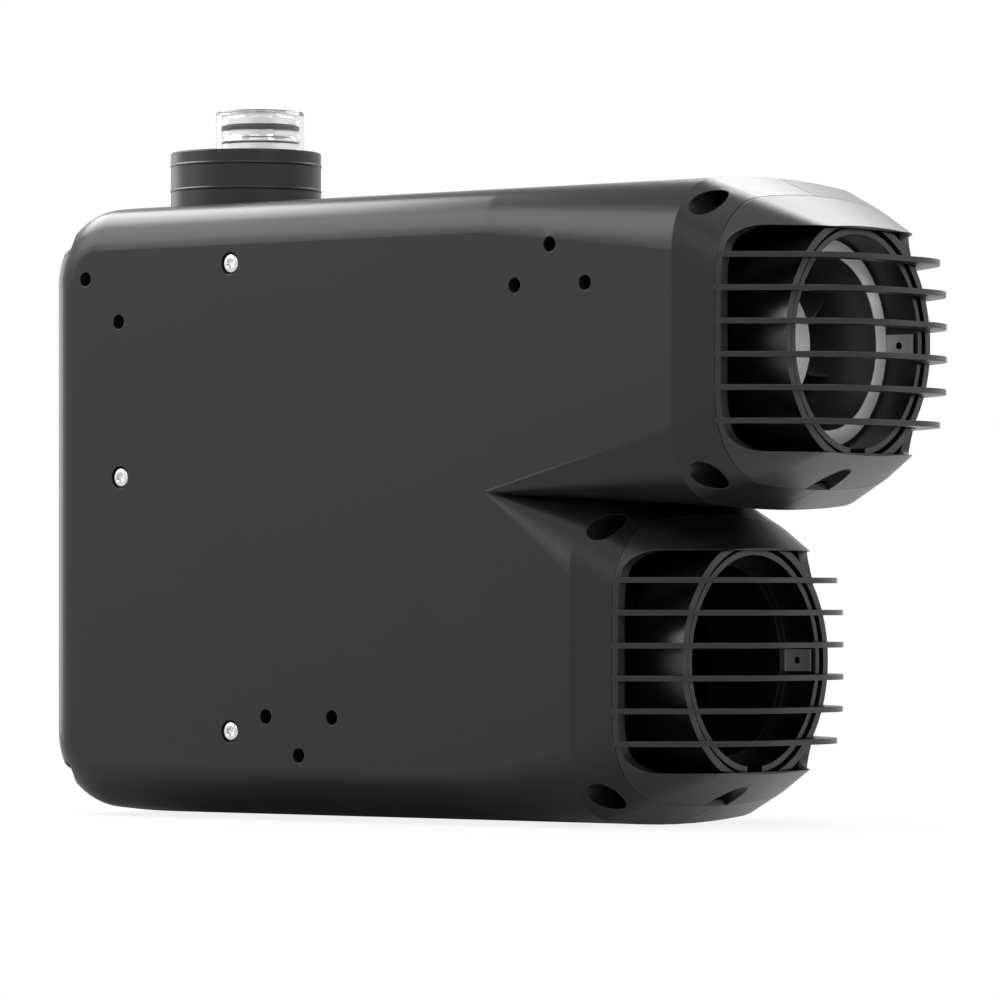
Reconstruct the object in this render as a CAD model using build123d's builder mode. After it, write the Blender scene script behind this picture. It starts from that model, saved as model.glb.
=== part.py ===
from build123d import *
import os
from math import radians, sqrt, tan

os.makedirs("parts", exist_ok=True)

# A slim blown-air gas heater for a caravan. X runs from the rear end to the air outlets, Y across
# the slim side with the near side plate at -Y, and Z up. The origin lies under the middle of the
# casing, on the surface that it stands on. All sizes are in millimetres.

# Casing
casing_width = 165.0
casing_height = 296.0
wall = 3.0
mid_wall = 5.0  # each head's own wall where the two heads meet
crown_drop = 6.2  # how much lower the top lies at the side plates than at mid-width
edge_radius = 21.0  # rounding from the side plates to the rim
rear_corner_radius = 40.0
rear_to_upper_mouth = 427.2
shell_gap = 0.2  # between what stands inside and the shell walls
rim_band_step = 6.0  # how much narrower the swept rim is than the rear corners' radius
rim_overlap = 2.0  # of the flat middle into the swept rim
seam_depth = 0.5  # of the groove along the joint of the two shells
seam_half = 0.2  # of its width, in each shell
cut_margin = 1.0  # how far a cut reaches past the face that it opens

# Air heads
head_half_height = 75.65
head_step = 57.3  # how much further the upper head reaches than the lower one
root_to_upper_mouth = 150.6  # where the valley between the heads begins
valley_rise = 5.0  # of the valley's point on the side plates above half the casing's height
slope_setback = 43.8  # from the mouth plane back to the start of the casing's slope
slope_narrowing = 0.3  # how much narrower the casing is there than between the side plates
slope_radius = 34.0
groove_setback = 22.8  # from the mouth plane back to the joint with the grille
groove_narrowing = 4.0  # the same at the joint, on each side
groove_half_height = 66.8
groove_radius = 38.0
groove_drop = 8.5
valley_overlap = 1.0  # of the two heads into each other at the valley's point
valley_drop = 0.4
valley_edge_radius = 0.5

# Grilles
nose_reach = 29.6  # from the mouth plane to the front of the middle fins
side_slope = 52.6  # degrees from straight across, of the fins' flanks
top_slope = 62.7  # degrees from upright, of the sloping top and bottom
lip_reach = 6.4  # from the mouth plane forward to the lips' edges
grille_wall = 2.5
fin_count = 6
fin_pitch = 14.8
fin_thickness = 2.5
fin_depth = 11.0
fin_bend_radius = 55.0
fin_gap = 1.0  # between the fins' inner edges and the duct's ring
nose_flat = 15.5  # half the height over which the fins' fronts stand in one plane
nose_radius = 40.0  # of the bend that takes the fins' fronts back above and below it
parting_gap = 0.3
window_setback = 20.7  # from the mouth plane back to the rear edge of the grille's window
window_radius = 10.0
lip_radius_loss = 10.0  # how much tighter the corners are at the lips than at the joint
tongue_overlap = 0.5
tongue_length = 3.0
tongue_gap = 0.3
grille_notch_radius = 9.5
grille_notch_length = 19.0
grille_screw_drop = 60.3  # below the mouth's centre
grille_screw_radius = 1.5
grille_screw_head_radius = 2.7
grille_screw_length = 6.0
grille_drive_radius = 1.05
screw_tab_gap = 1.0  # between the screw's tab and the shell under it
grille_lug_half = 3.5

# Duct sockets and housings
duct_radius = 48.5
socket_wall = 3.0
socket_length = 60.0
shoulder_setback = 17.0
shoulder_radius = 44.0
shoulder_length = 5.0
housing_bore = 53.2
housing_radius = 57.0
housing_tube_radius = 55.0
housing_lead = 1.0  # how far the housing's rim stands in front of the mouth plane
housing_rim_length = 30.0
housing_length = 56.0
flange_thickness = 3.0
socket_notch_width = 11.6
socket_notch_depth = 9.0
clip_setback = 3.0
clip_length = 16.0
clip_width = 9.0
clip_thickness = 0.8
clip_hole = 1.9

# Screws
rear_screw_setback = 15.0  # of the two rear corner screws from the rear face
rear_screw_inset = 20.0  # and from the casing's top and bottom
head_screw_setback = 34.8  # of the four others from the mouth plane
head_screw_rise = 60.9  # above and below the mouth's centre
outer_side_setback = 124.3  # of the upper and lower side screw from the rear face
upper_side_drop = 33.4
lower_side_rise = 41.6
middle_side_setback = 54.9
middle_side_drop = 133.6
corner_recess_radius = 5.9
corner_boss_radius = 8.5
corner_boss_slim_radius = 5.5  # of the boss beside the duct's tube, where room is short
corner_rib_reach = 12.0  # of the rib from each boss outwards to the rim
corner_rib_half = 1.5
corner_recess_depth = 40.5  # from the side plate to the seat under the screw head
corner_screw_radius = 2.5
corner_head_radius = 4.6
corner_head_height = 3.2
far_boss_depth = 24.0
side_recess_radius = 5.4
side_head_radius = 4.75
side_head_height = 2.2  # the recess is as deep, so the heads lie flush
side_boss_radius = 8.0
side_boss_height = 3.0
side_screw_radius = 2.4
side_screw_length = 13.0
socket_drive_radius = 1.9
bracket_hole_radius = 3.5
bracket_boss_radius = 6.5
bracket_boss_length = 12.0
bracket_pitch = 40.2  # between the outer holes of a group of three
bracket_rise = 18.0  # from the outer holes to the middle one
rear_bracket_places = ((32.6, 38.0), (53.9, 59.0))  # from the rear face and below the top
upper_bracket_setback = 112.4  # from the upper mouth plane
upper_bracket_rise = 44.4  # above its centre
lower_bracket_setback = 166.6  # from the rear face
lower_bracket_z = 30.8
screw_gap = 0.25
thread_gap = 0.1

# Collar, exhaust spigot and cap
collar_setback = 63.7  # from the rear face
collar_radius = 36.7
collar_wall = 2.6
collar_rise = 26.0  # of its rim above the casing's top
collar_depth = 34.0  # of its foot below the casing's top
collar_rib_drops = (18.8, 6.6)  # below its rim
collar_rib_height = 0.4
collar_rib_width = 0.8
spigot_offset = 9.0  # of the exhaust from the collar's centre
spigot_radius = 18.0
spigot_wall = 2.2
spigot_rise = 16.8  # above the collar's rim
spigot_bead_radius = 20.0
spigot_bead_drop = 11.7  # below the spigot's rim
o_ring_drop = 5.3  # below the spigot's rim
o_ring_radius = 1.3
cap_radius = 21.5
cap_wall = 1.1
cap_rise = 2.8  # of its top above the spigot's rim
cap_length = 43.6

# Circulation fan in the upper socket, each setback measured from the mouth plane
shroud_setback = 17.6
shroud_radius = 47.5
shroud_bore = 42.0
shroud_length = 48.4
blade_tip_radius = 41.0
blade_count = 7
blade_thickness = 1.8
blade_chord = 21.0
blade_root_pitch = 48.0
blade_tip_pitch = 28.0
blade_edge_radius = 0.8
hub_radius = 29.6
hub_setback = 46.0
hub_length = 14.0
hub_wall = 2.0
fan_shaft_radius = 2.5
fan_motor_radius = 21.0
fan_motor_length = 24.0
strut_count = 4
strut_angle = 45.0
strut_width = 5.0
running_gap = 0.3
nut_radius = 3.6
nut_rim = 0.8
nut_length = 10.0

# Burner side, from the rear end and from the floor of the casing
bulkhead_setback = 119.0
sheet = 1.5
bulkhead_flange = 14.0
burner_z = 120.0
burner_radius = 17.0
burner_length = 96.0
exhaust_drop = 96.0  # of the exhaust's lower end below the casing's top
exhaust_bend_radius = 34.0
exhaust_wall = 1.5
exhaust_joint_drop = 42.0  # of the joint with the spigot below the casing's top
clamp_width = 10.0
flange_half = 30.0
flange_plate = 2.0
flange_screw_inset = 5.0
flange_screw_radius = 2.0
flange_screw_head_radius = 3.6
flange_screw_reach = 8.0
burner_wall = 1.0
port_count = 8
port_pitch = 9.0
port_width = 2.0
electrode_rise = 23.0  # above the burner's axis
electrode_radius = 3.5
electrode_length = 46.0
electrode_rod_radius = 1.2
electrode_reach = 14.0
elbow_entry = 6.0  # how far the elbow's end goes into the exchanger
fin_setback = 6.0
seat_gap = 0.2

# Heat exchanger
exchanger_length = 146.0
exchanger_half = 32.0
exchanger_low = 86.0
exchanger_top_gap = 68.0  # between its core and the casing's top
exchanger_corner = 8.0
burner_bore = 28.0
exhaust_bore = 20.0
exchanger_end_wall = 12.0
exchanger_fin = 2.0
exchanger_fin_pitch = 8.4
exchanger_fin_reach = 26.0
gasket_thickness = 2.0

# Combustion blower
blower_setback = 58.0
blower_z = 96.0
blower_radius = 38.0
blower_wall = 2.5
blower_near_y = -24.5
blower_far_y = 20.0
blower_inlet_radius = 17.0
impeller_radius = 30.0
impeller_length = 28.0
impeller_vanes = 12
vane_circle = 23.5
vane_length = 11.0
vane_angle = 35.0
impeller_hub_radius = 7.0
blower_motor_radius = 22.0
blower_motor_length = 36.0
mixer_length = 20.0
mixer_half_width = 25.0
mixer_half = 18.5
bracket_plate_margin = 2.0

# Gas line, control board and inlets
gas_pipe_radius = 4.0
gas_y = 34.0
gas_z = 40.0
pocket_depth = 22.0
pocket_half = 14.0
valve_length = 46.0
valve_half = 16.0
coil_radius = 10.5
coil_length = 26.0
jet_pipe_radius = 3.0
gas_pipe_setback = 2.0
pipe_wall = 1.0
coil_gap = 1.0
gas_bead_radius = 5.2
gas_bead_length = 1.6
board_side_gap = 16.5  # between the far side plate and the board's near face
board_thickness = 1.6
board_top_gap = 50.0  # between the board and the casing's top
board_height = 94.0
board_setback = 22.0
board_length = 92.0
board_post_inset = 6.0
component_sizes = ((20.0, 18.0, 16.0), (14.0, 15.0, 14.0), (24.0, 10.0, 12.0))
component_rows = 2
component_row_pitch = 40.0
post_radius = 3.0
inlet_drop = 74.0  # below the casing's top
inlet_radius = 9.0
inlet_length = 34.0
inlet_flange_radius = 12.0
inlet_pin_radius = 1.0
inlet_pin_circle = 4.0

# Air side
divider_setback = 165.0
divider_length = 109.0
divider_slot_half = 60.5
sensor_radius = 3.0
sensor_length = 22.0
sensor_side_gap = 18.5
switch_radius = 8.0
switch_height = 6.0
switch_drop = 10.0  # below the exhaust's lower end

# Places worked out from the sizes above
half_width = casing_width / 2
rear_x = -(rear_to_upper_mouth + nose_reach) / 2
upper_mouth_x = rear_x + rear_to_upper_mouth
lower_mouth_x = upper_mouth_x - head_step
slope_half_width = half_width - slope_narrowing
groove_half_width = half_width - groove_narrowing
corner_seat_depth = half_width - corner_recess_depth
valley_height = casing_height / 2 + valley_rise
lower_z = head_half_height
upper_z = casing_height - head_half_height
root_x = upper_mouth_x - root_to_upper_mouth
heads = {"upper": (upper_mouth_x, upper_z), "lower": (lower_mouth_x, lower_z)}
collar_top = casing_height + collar_rise
collar_foot = casing_height - collar_depth
spigot_top = collar_top + spigot_rise
o_ring_height = spigot_top - o_ring_drop
cap_top = spigot_top + cap_rise
cap_foot = cap_top - cap_length
exhaust_z = casing_height - exhaust_drop
exhaust_joint_z = casing_height - exhaust_joint_drop
exchanger_high = casing_height - exchanger_top_gap
board_y = half_width - board_side_gap
board_high = casing_height - board_top_gap
board_low = board_high - board_height
inlet_z = casing_height - inlet_drop
switch_z = exhaust_z - switch_drop


def rings(plane, places, radius, bore=0.0):
    """Discs of one radius at places on a plane, or rings where a bore is given."""
    with BuildSketch(plane) as flat:
        with Locations(*places):
            Circle(radius)
            if bore:
                Circle(bore, mode=Mode.SUBTRACT)
    return flat.sketch


def block(x, y, z, mode=Mode.ADD):
    """A box in the part being built, from the low and high value of each direction."""
    with Locations((sum(x) / 2, sum(y) / 2, sum(z) / 2)):
        Box(x[1] - x[0], y[1] - y[0], z[1] - z[0], mode=mode)


def crowned_section(x, low, high, half, drops, radii):
    """A cross-section at x with arched bottom and top, each given by its drop at the sides and
    by the radius of its two corners, bottom first."""
    with BuildSketch(Plane.YZ.offset(x)) as flat:
        with BuildLine():
            ThreePointArc((-half, low + drops[0]), (0, low), (half, low + drops[0]))
            Line((half, low + drops[0]), (half, high - drops[1]))
            ThreePointArc((half, high - drops[1]), (0, high), (-half, high - drops[1]))
            Line((-half, high - drops[1]), (-half, low + drops[0]))
        make_face()
        fillet(flat.vertices().group_by(Axis.Y)[0], radii[0])
        fillet(flat.vertices().group_by(Axis.Y)[-1], radii[1])
    return flat.sketch


def crown_at(half):
    """The crown's drop at a distance from mid-width."""
    return crown_drop * (half / half_width) ** 2


def head_sections(name, inset):
    """The three cross-sections that a head is drawn through, pulled in by inset: at the valley's
    point, where the slope starts and at the joint with the grille."""
    mouth_x, centre_z = heads[name]
    between = mid_wall if inset > seam_depth else inset
    half = half_width - inset
    slope_half = slope_half_width - inset
    crown = crown_at(half)
    root_low, root_high = inset, casing_height - inset
    slope_low = centre_z - head_half_height + inset
    slope_high = centre_z + head_half_height - inset
    corner = edge_radius - inset
    if name == "upper":
        root_low = valley_height - valley_overlap + between
        slope_low = centre_z - head_half_height + max(inset, between)
        drops, radii = (valley_drop, crown), (valley_edge_radius, corner)
    else:
        root_high = valley_height + valley_overlap - between
        slope_high = centre_z + head_half_height - max(inset, between)
        drops, radii = (crown, valley_drop), (corner, valley_edge_radius)
    groove_half = groove_half_width - inset
    groove_low = centre_z - groove_half_height + inset
    groove_high = centre_z + groove_half_height - inset
    slope_crown = crown_at(slope_half)
    return [
        crowned_section(root_x, root_low, root_high, half, drops, radii),
        crowned_section(
            mouth_x - slope_setback, slope_low, slope_high, slope_half,
            (slope_crown, slope_crown), (slope_radius - inset, slope_radius - inset),
        ),
        crowned_section(
            mouth_x - groove_setback, groove_low, groove_high, groove_half,
            (groove_drop, groove_drop), (groove_radius - inset, groove_radius - inset),
        ),
    ]


def casing_form(inset):
    """The form of the whole casing, pulled in by inset on every side but the open head ends."""
    half = half_width - inset
    top, bottom, rear = casing_height - inset, inset, rear_x + inset
    bend = rear_corner_radius - inset
    band = rear_corner_radius - rim_band_step
    drop = crown_at(half)
    with BuildPart() as form:
        with BuildLine(Plane.XZ) as rim:
            FilletPolyline((root_x, top), (rear, top), (rear, bottom), (root_x, bottom), radius=bend)
        with BuildSketch(Plane.YZ.offset(root_x)) as edge_band:
            with BuildLine():
                ThreePointArc((-half, top - drop), (0, top), (half, top - drop))
                Polyline((half, top - drop), (half, top - band), (-half, top - band), (-half, top - drop))
            make_face()
            fillet(edge_band.vertices().group_by(Axis.Y)[-1], edge_radius - inset)
        sweep(path=rim.wires()[0])
        fill = band - rim_overlap
        with BuildSketch(Plane.XZ):
            with BuildLine():
                FilletPolyline(
                    (root_x, top - fill), (rear + fill, top - fill), (rear + fill, bottom + fill),
                    (root_x, bottom + fill), radius=bend - fill,
                )
                Line((root_x, bottom + fill), (root_x, top - fill))
            make_face()
        extrude(amount=half, both=True)
        for name in heads:
            loft(head_sections(name, inset), ruled=True)
    return form.part


outer_form = casing_form(0.0)
inner_form = casing_form(wall)
fit_form = casing_form(wall + shell_gap)

# The shallow groove that runs round the casing where the two shells meet
with BuildPart() as seam:
    add(outer_form)
    add(casing_form(seam_depth), mode=Mode.SUBTRACT)
    with Locations((0, 0, casing_height / 2)):
        Box(2 * casing_height, 2 * seam_half, 2 * casing_height, mode=Mode.INTERSECT)

# The six screws that hold the shells together, each as (x, z)
corner_places = [
    (rear_x + rear_screw_setback, casing_height - rear_screw_inset),
    (rear_x + rear_screw_setback, rear_screw_inset),
]
for mouth_x, centre_z in heads.values():
    for rise in (head_screw_rise, -head_screw_rise):
        corner_places.append((mouth_x - head_screw_setback, centre_z + rise))

# The three bright screws in the near side plate, and the holes for mounting brackets
side_places = [
    (rear_x + outer_side_setback, casing_height - upper_side_drop),
    (rear_x + middle_side_setback, casing_height - middle_side_drop),
    (rear_x + outer_side_setback, lower_side_rise),
]
bracket_places = [(rear_x + x, casing_height - z) for x, z in rear_bracket_places]
bracket_groups = [
    (upper_mouth_x - upper_bracket_setback, upper_z + upper_bracket_rise, bracket_rise),
    (rear_x + lower_bracket_setback, lower_bracket_z, -bracket_rise),
]
for x, z, rise in bracket_groups:
    bracket_places += [(x, z), (x - bracket_pitch / 2, z - rise), (x + bracket_pitch / 2, z - rise)]
collar_x = rear_x + collar_setback
spigot_x = collar_x + spigot_offset
collar_place = [(collar_x, 0)]
spigot_place = [(spigot_x, 0)]
bulkhead_x = rear_x + bulkhead_setback

# The two pockets in the rear of the far shell, for gas and for the electrical inlet, each as
# the radius of the hole in its floor and its height
pocket_places = [(gas_pipe_radius, gas_z), (inlet_radius, inlet_z)]


def casing_half(side):
    """One half shell with its screw bosses, near for -1 and far for 1."""
    keep = Keep.TOP if side < 0 else Keep.BOTTOM
    with BuildPart() as bosses:
        depth = half_width if side < 0 else far_boss_depth
        extrude(rings(Plane.XZ, corner_places, corner_boss_slim_radius), amount=-side * depth)
        for index, (x, z) in enumerate(corner_places):
            outer_z = z - corner_rib_reach if index % 2 else z + corner_rib_reach
            block(
                (x - corner_rib_half, x + corner_rib_half), sorted((0.0, side * depth)),
                sorted((z, outer_z)),
            )
        if side < 0:
            inner_face = Plane.XZ.offset(corner_seat_depth - wall)
            extrude(rings(inner_face, corner_places, corner_boss_radius), amount=half_width)
            inner_face = Plane.XZ.offset(half_width - wall - bracket_boss_length)
            extrude(rings(inner_face, bracket_places, bracket_boss_radius), amount=bracket_boss_length)
            inner_face = Plane.XZ.offset(half_width - wall - side_boss_height)
            extrude(rings(inner_face, side_places, side_boss_radius), amount=side_boss_height)
        else:
            for _, low_z in pocket_places:
                block(
                    (rear_x, rear_x + pocket_depth + wall),
                    (gas_y - pocket_half - wall, gas_y + pocket_half + wall),
                    (low_z - pocket_half - wall, low_z + pocket_half + wall),
                )
        add(outer_form, mode=Mode.INTERSECT)
    with BuildPart() as shell:
        add(outer_form)
        add(inner_form, mode=Mode.SUBTRACT)
        split(bisect_by=Plane.XZ, keep=keep)
        add(bosses.part)
        extrude(
            rings(Plane.XY.offset(casing_height - rear_corner_radius), collar_place,
                  collar_radius + shell_gap),
            amount=rear_corner_radius,
            mode=Mode.SUBTRACT,
        )
        if side < 0:
            extrude(
                rings(Plane.XZ.offset(corner_seat_depth), corner_places, corner_recess_radius),
                amount=half_width, mode=Mode.SUBTRACT,
            )
            extrude(
                rings(Plane.XZ, corner_places, corner_screw_radius + screw_gap),
                amount=half_width, mode=Mode.SUBTRACT,
            )
            extrude(
                rings(Plane.XZ.offset(half_width - side_head_height), side_places, side_recess_radius),
                amount=half_width, mode=Mode.SUBTRACT,
            )
            extrude(
                rings(Plane.XZ.offset(half_width / 2), side_places, side_screw_radius + screw_gap),
                amount=half_width, mode=Mode.SUBTRACT,
            )
            extrude(
                rings(Plane.XZ.offset(half_width - wall - bracket_boss_length - cut_margin),
                      bracket_places, bracket_hole_radius),
                amount=half_width, mode=Mode.SUBTRACT,
            )
        else:
            extrude(
                rings(Plane.XZ, corner_places, corner_screw_radius + thread_gap),
                amount=-far_boss_depth + wall, mode=Mode.SUBTRACT,
            )
            for hole, low_z in pocket_places:
                block(
                    (rear_x - cut_margin, rear_x + pocket_depth),
                    (gas_y - pocket_half, gas_y + pocket_half),
                    (low_z - pocket_half, low_z + pocket_half), mode=Mode.SUBTRACT,
                )
                extrude(
                    rings(Plane.YZ.offset(rear_x), [(gas_y, low_z)], hole + screw_gap),
                    amount=2 * pocket_depth, mode=Mode.SUBTRACT,
                )
        add(seam.part, mode=Mode.SUBTRACT)
    return shell.part


def write(part, name):
    """Label a finished piece and write its file."""
    part.label = name
    export_step(part, f"parts/{name}.step")


write(casing_half(-1), "near_shell")
write(casing_half(1), "far_shell")

# Screws. The six corner screws sink into their recesses, and the three side screws lie flush.
with BuildPart() as corner_screws:
    seat = Plane.XZ.offset(corner_seat_depth)
    extrude(rings(seat, corner_places, corner_head_radius), amount=corner_head_height)
    shank = corner_seat_depth + far_boss_depth - 2 * wall
    extrude(rings(seat, corner_places, corner_screw_radius), amount=-shank)
    with BuildSketch(seat.offset(corner_head_height)):
        with Locations(*corner_places):
            RegularPolygon(socket_drive_radius, 6)
    extrude(amount=-corner_head_height / 2, mode=Mode.SUBTRACT)
write(corner_screws.part, "corner_screws")

with BuildPart() as side_screws:
    seat = Plane.XZ.offset(half_width - side_head_height)
    extrude(rings(seat, side_places, side_head_radius), amount=side_head_height)
    chamfer(side_screws.faces().filter_by(Axis.Y).sort_by(Axis.Y)[:3].edges(), side_head_height / 4)
    extrude(rings(seat, side_places, side_screw_radius), amount=-side_screw_length)
    with BuildSketch(seat.offset(side_head_height)):
        with Locations(*side_places):
            RegularPolygon(socket_drive_radius, 6)
    extrude(amount=-side_head_height / 2, mode=Mode.SUBTRACT)
write(side_screws.part, "side_screws")


def grille_section(name, reach, inset):
    """The grille frame's cross-section at a reach in front of the joint with the casing."""
    mouth_x, centre_z = heads[name]
    share = reach / (groove_setback + lip_reach)
    half = groove_half_width - reach / tan(radians(side_slope)) - inset
    half_height = groove_half_height - reach / tan(radians(top_slope)) - inset
    radius = groove_radius - inset - lip_radius_loss * share
    drop = groove_drop * (1.0 - share / 2)
    return crowned_section(
        mouth_x - groove_setback + reach, centre_z - half_height, centre_z + half_height, half,
        (drop, drop), (radius, radius),
    )


def fin_outline(name, height, inset):
    """A fin's plan outline at a height above the mouth's centre, pulled in by inset: two slanted
    flanks and a flat front, with round bends between them."""
    mouth_x, centre_z = heads[name]
    base_x = mouth_x - groove_setback
    slant = tan(radians(side_slope))
    beyond = max(0.0, abs(height) - (groove_half_height - groove_radius))
    base_half = groove_half_width - groove_radius + sqrt(groove_radius**2 - beyond**2)
    base_half -= inset * sqrt(1.0 + slant**2) / slant
    past = max(0.0, abs(height) - nose_flat)
    front_x = mouth_x + nose_reach - nose_radius + sqrt(nose_radius**2 - past**2) - inset
    front_half = base_half - (front_x - base_x) / slant
    with BuildSketch(Plane.XY.offset(centre_z + height)) as outline:
        with BuildLine():
            FilletPolyline(
                (base_x, -base_half), (front_x, -front_half), (front_x, front_half),
                (base_x, base_half), radius=fin_bend_radius - inset,
            )
            Line((base_x, base_half), (base_x, -base_half))
        make_face()
    return outline.sketch


def grille(name):
    """One grille: a sloping frame with a wide window, six fins round it and a tongue behind."""
    mouth_x, centre_z = heads[name]
    groove_x = mouth_x - groove_setback
    tongue_inset = wall + tongue_gap
    frame_length = groove_setback + lip_reach
    window_x = mouth_x - window_setback
    screw_z = centre_z - grille_screw_drop
    with BuildPart() as fins:
        for index in range(fin_count):
            height = (index - (fin_count - 1) / 2) * fin_pitch
            extrude(fin_outline(name, height, 0.0), amount=fin_thickness / 2, both=True)
            extrude(fin_outline(name, height, fin_depth), amount=fin_thickness / 2, both=True,
                    mode=Mode.SUBTRACT)
        extrude(
            rings(Plane.YZ.offset(groove_x), [(0, centre_z)], housing_radius + fin_gap),
            amount=groove_setback + housing_lead + fin_gap, mode=Mode.SUBTRACT,
        )
    with BuildPart() as piece:
        loft([grille_section(name, parting_gap, 0.0), grille_section(name, frame_length, 0.0)])
        extrude(grille_section(name, 0.0, tongue_inset), amount=parting_gap + tongue_overlap)
        extrude(grille_section(name, 0.0, tongue_inset), amount=-tongue_length)
        loft(
            [grille_section(name, 0.0, tongue_inset + grille_wall),
             grille_section(name, frame_length, grille_wall)],
            mode=Mode.SUBTRACT,
        )
        extrude(
            grille_section(name, 0.0, tongue_inset + grille_wall), amount=-tongue_length,
            mode=Mode.SUBTRACT,
        )
        with BuildSketch(Plane.XZ):
            with Locations((window_x + casing_width / 2, centre_z)):
                RectangleRounded(casing_width, fin_pitch * (fin_count + 1) - grille_wall, window_radius)
        extrude(amount=casing_width, both=True, mode=Mode.SUBTRACT)
        add(fins.part)
        extrude(
            rings(Plane.YZ.offset(groove_x - 2 * tongue_length), [(0, centre_z - groove_half_height)],
                  grille_notch_radius),
            amount=2 * tongue_length + grille_notch_length, mode=Mode.SUBTRACT,
        )
        block(
            (groove_x - grille_wall, groove_x + parting_gap), (-grille_notch_radius, grille_notch_radius),
            (centre_z - groove_half_height + tongue_inset + screw_tab_gap,
             centre_z - housing_radius - tongue_gap),
        )
        extrude(
            rings(Plane.YZ.offset(groove_x - tongue_length), [(0, screw_z)],
                  grille_screw_radius + screw_gap),
            amount=2 * tongue_length, mode=Mode.SUBTRACT,
        )
    return piece.part


for name in heads:
    write(grille(name), f"{name}_grille")

# The screw under each grille, reached through its notch
for name, (mouth_x, centre_z) in heads.items():
    seat = Plane.YZ.offset(mouth_x - groove_setback + parting_gap)
    place = [(0, centre_z - grille_screw_drop)]
    with BuildPart() as grille_screw:
        extrude(rings(seat, place, grille_screw_head_radius), amount=grille_screw_radius)
        extrude(rings(seat, place, grille_screw_radius), amount=-grille_screw_length)
        with BuildSketch(seat.offset(grille_screw_radius)):
            with Locations(*place):
                RegularPolygon(grille_drive_radius, 6)
        extrude(amount=-grille_screw_radius / 2, mode=Mode.SUBTRACT)
    write(grille_screw.part, f"{name}_grille_screw")


def duct_housing(name):
    """The outer ring round the socket, with its tube, and the flange that closes the head."""
    mouth_x, centre_z = heads[name]
    back = Plane.YZ.offset(mouth_x + housing_lead - housing_length)
    place = [(0, centre_z)]
    floor, ceiling = (valley_height, casing_height) if name == "upper" else (0.0, valley_height)
    screw_place = [(0, centre_z - grille_screw_drop)]
    with BuildPart() as flange:
        block(
            (back.origin.X, back.origin.X + flange_thickness), (-half_width, half_width),
            (floor, ceiling),
        )
        add(fit_form, mode=Mode.INTERSECT)
    rim_back = back.offset(housing_length - housing_rim_length)
    room = wall + grille_wall + 2 * tongue_gap
    with BuildPart() as rim:
        extrude(grille_section(name, 0.0, room), amount=-housing_rim_length)
        loft([
            grille_section(name, 0.0, room),
            grille_section(name, groove_setback + lip_reach, grille_wall + tongue_gap),
        ])
        extrude(rings(rim_back, place, housing_radius), amount=housing_rim_length, mode=Mode.INTERSECT)
    with BuildPart() as housing:
        add(flange.part)
        extrude(rings(back, place, housing_tube_radius), amount=housing_length - housing_rim_length)
        add(rim.part)
        lug_front = mouth_x - groove_setback - grille_wall - seat_gap
        block(
            (rim_back.origin.X, lug_front), (-grille_lug_half, grille_lug_half),
            (screw_place[0][1] - grille_lug_half, centre_z - housing_bore),
        )
        extrude(rings(back, place, housing_bore), amount=housing_length, mode=Mode.SUBTRACT)
        extrude(
            rings(rim_back, screw_place, grille_screw_radius + thread_gap),
            amount=lug_front - rim_back.origin.X, mode=Mode.SUBTRACT,
        )
    return housing.part


def duct_socket(name):
    """The ring that the air duct is pushed into, with its stop, its notch and its clip's window."""
    mouth_x, centre_z = heads[name]
    back = Plane.YZ.offset(mouth_x - socket_length)
    place = [(0, centre_z)]
    outer = duct_radius + socket_wall
    with BuildPart() as socket:
        extrude(rings(back, place, outer, duct_radius), amount=socket_length)
        rim_back = socket_length + housing_lead - housing_length - seat_gap
        extrude(rings(back, place, housing_radius, duct_radius), amount=rim_back)
        if name == "upper":
            extrude(
                rings(back, place, duct_radius + socket_wall / 2, shroud_radius + shell_gap),
                amount=socket_length - shoulder_setback,
            )
        else:
            stop = Plane.YZ.offset(mouth_x - shoulder_setback - shoulder_length)
            extrude(
                rings(stop, place, duct_radius + socket_wall / 2, shoulder_radius),
                amount=shoulder_length,
            )
        block(
            (mouth_x - socket_notch_depth, mouth_x + cut_margin),
            (-socket_notch_width / 2, socket_notch_width / 2),
            (centre_z - outer - cut_margin, centre_z - duct_radius + 2 * cut_margin),
            mode=Mode.SUBTRACT,
        )
        block(
            (mouth_x - clip_setback - clip_length, mouth_x - clip_setback),
            (duct_radius - cut_margin, outer + cut_margin),
            (centre_z - clip_width / 2, centre_z + clip_width / 2), mode=Mode.SUBTRACT,
        )
    return socket.part


def duct_clip(name):
    """A bent sheet clip in the socket's window: a holed plate with both ends bent outwards."""
    mouth_x, centre_z = heads[name]
    front = mouth_x - clip_setback - tongue_gap
    rear = mouth_x - clip_setback - clip_length + tongue_gap
    face = duct_radius + screw_gap
    half = clip_width / 2 - tongue_gap
    with BuildPart() as clip:
        block((rear, front), (face, face + clip_thickness), (centre_z - half, centre_z + half))
        for end in (rear, front - clip_thickness):
            block(
                (end, end + clip_thickness), (face, duct_radius + socket_wall),
                (centre_z - half, centre_z + half),
            )
        extrude(
            rings(Plane.XZ, [((rear + front) / 2, centre_z)], clip_hole),
            amount=-duct_radius - socket_wall, mode=Mode.SUBTRACT,
        )
    return clip.part


for name in heads:
    write(duct_housing(name), f"{name}_duct_housing")
    write(duct_socket(name), f"{name}_duct_socket")
    write(duct_clip(name), f"{name}_duct_clip")

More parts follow.
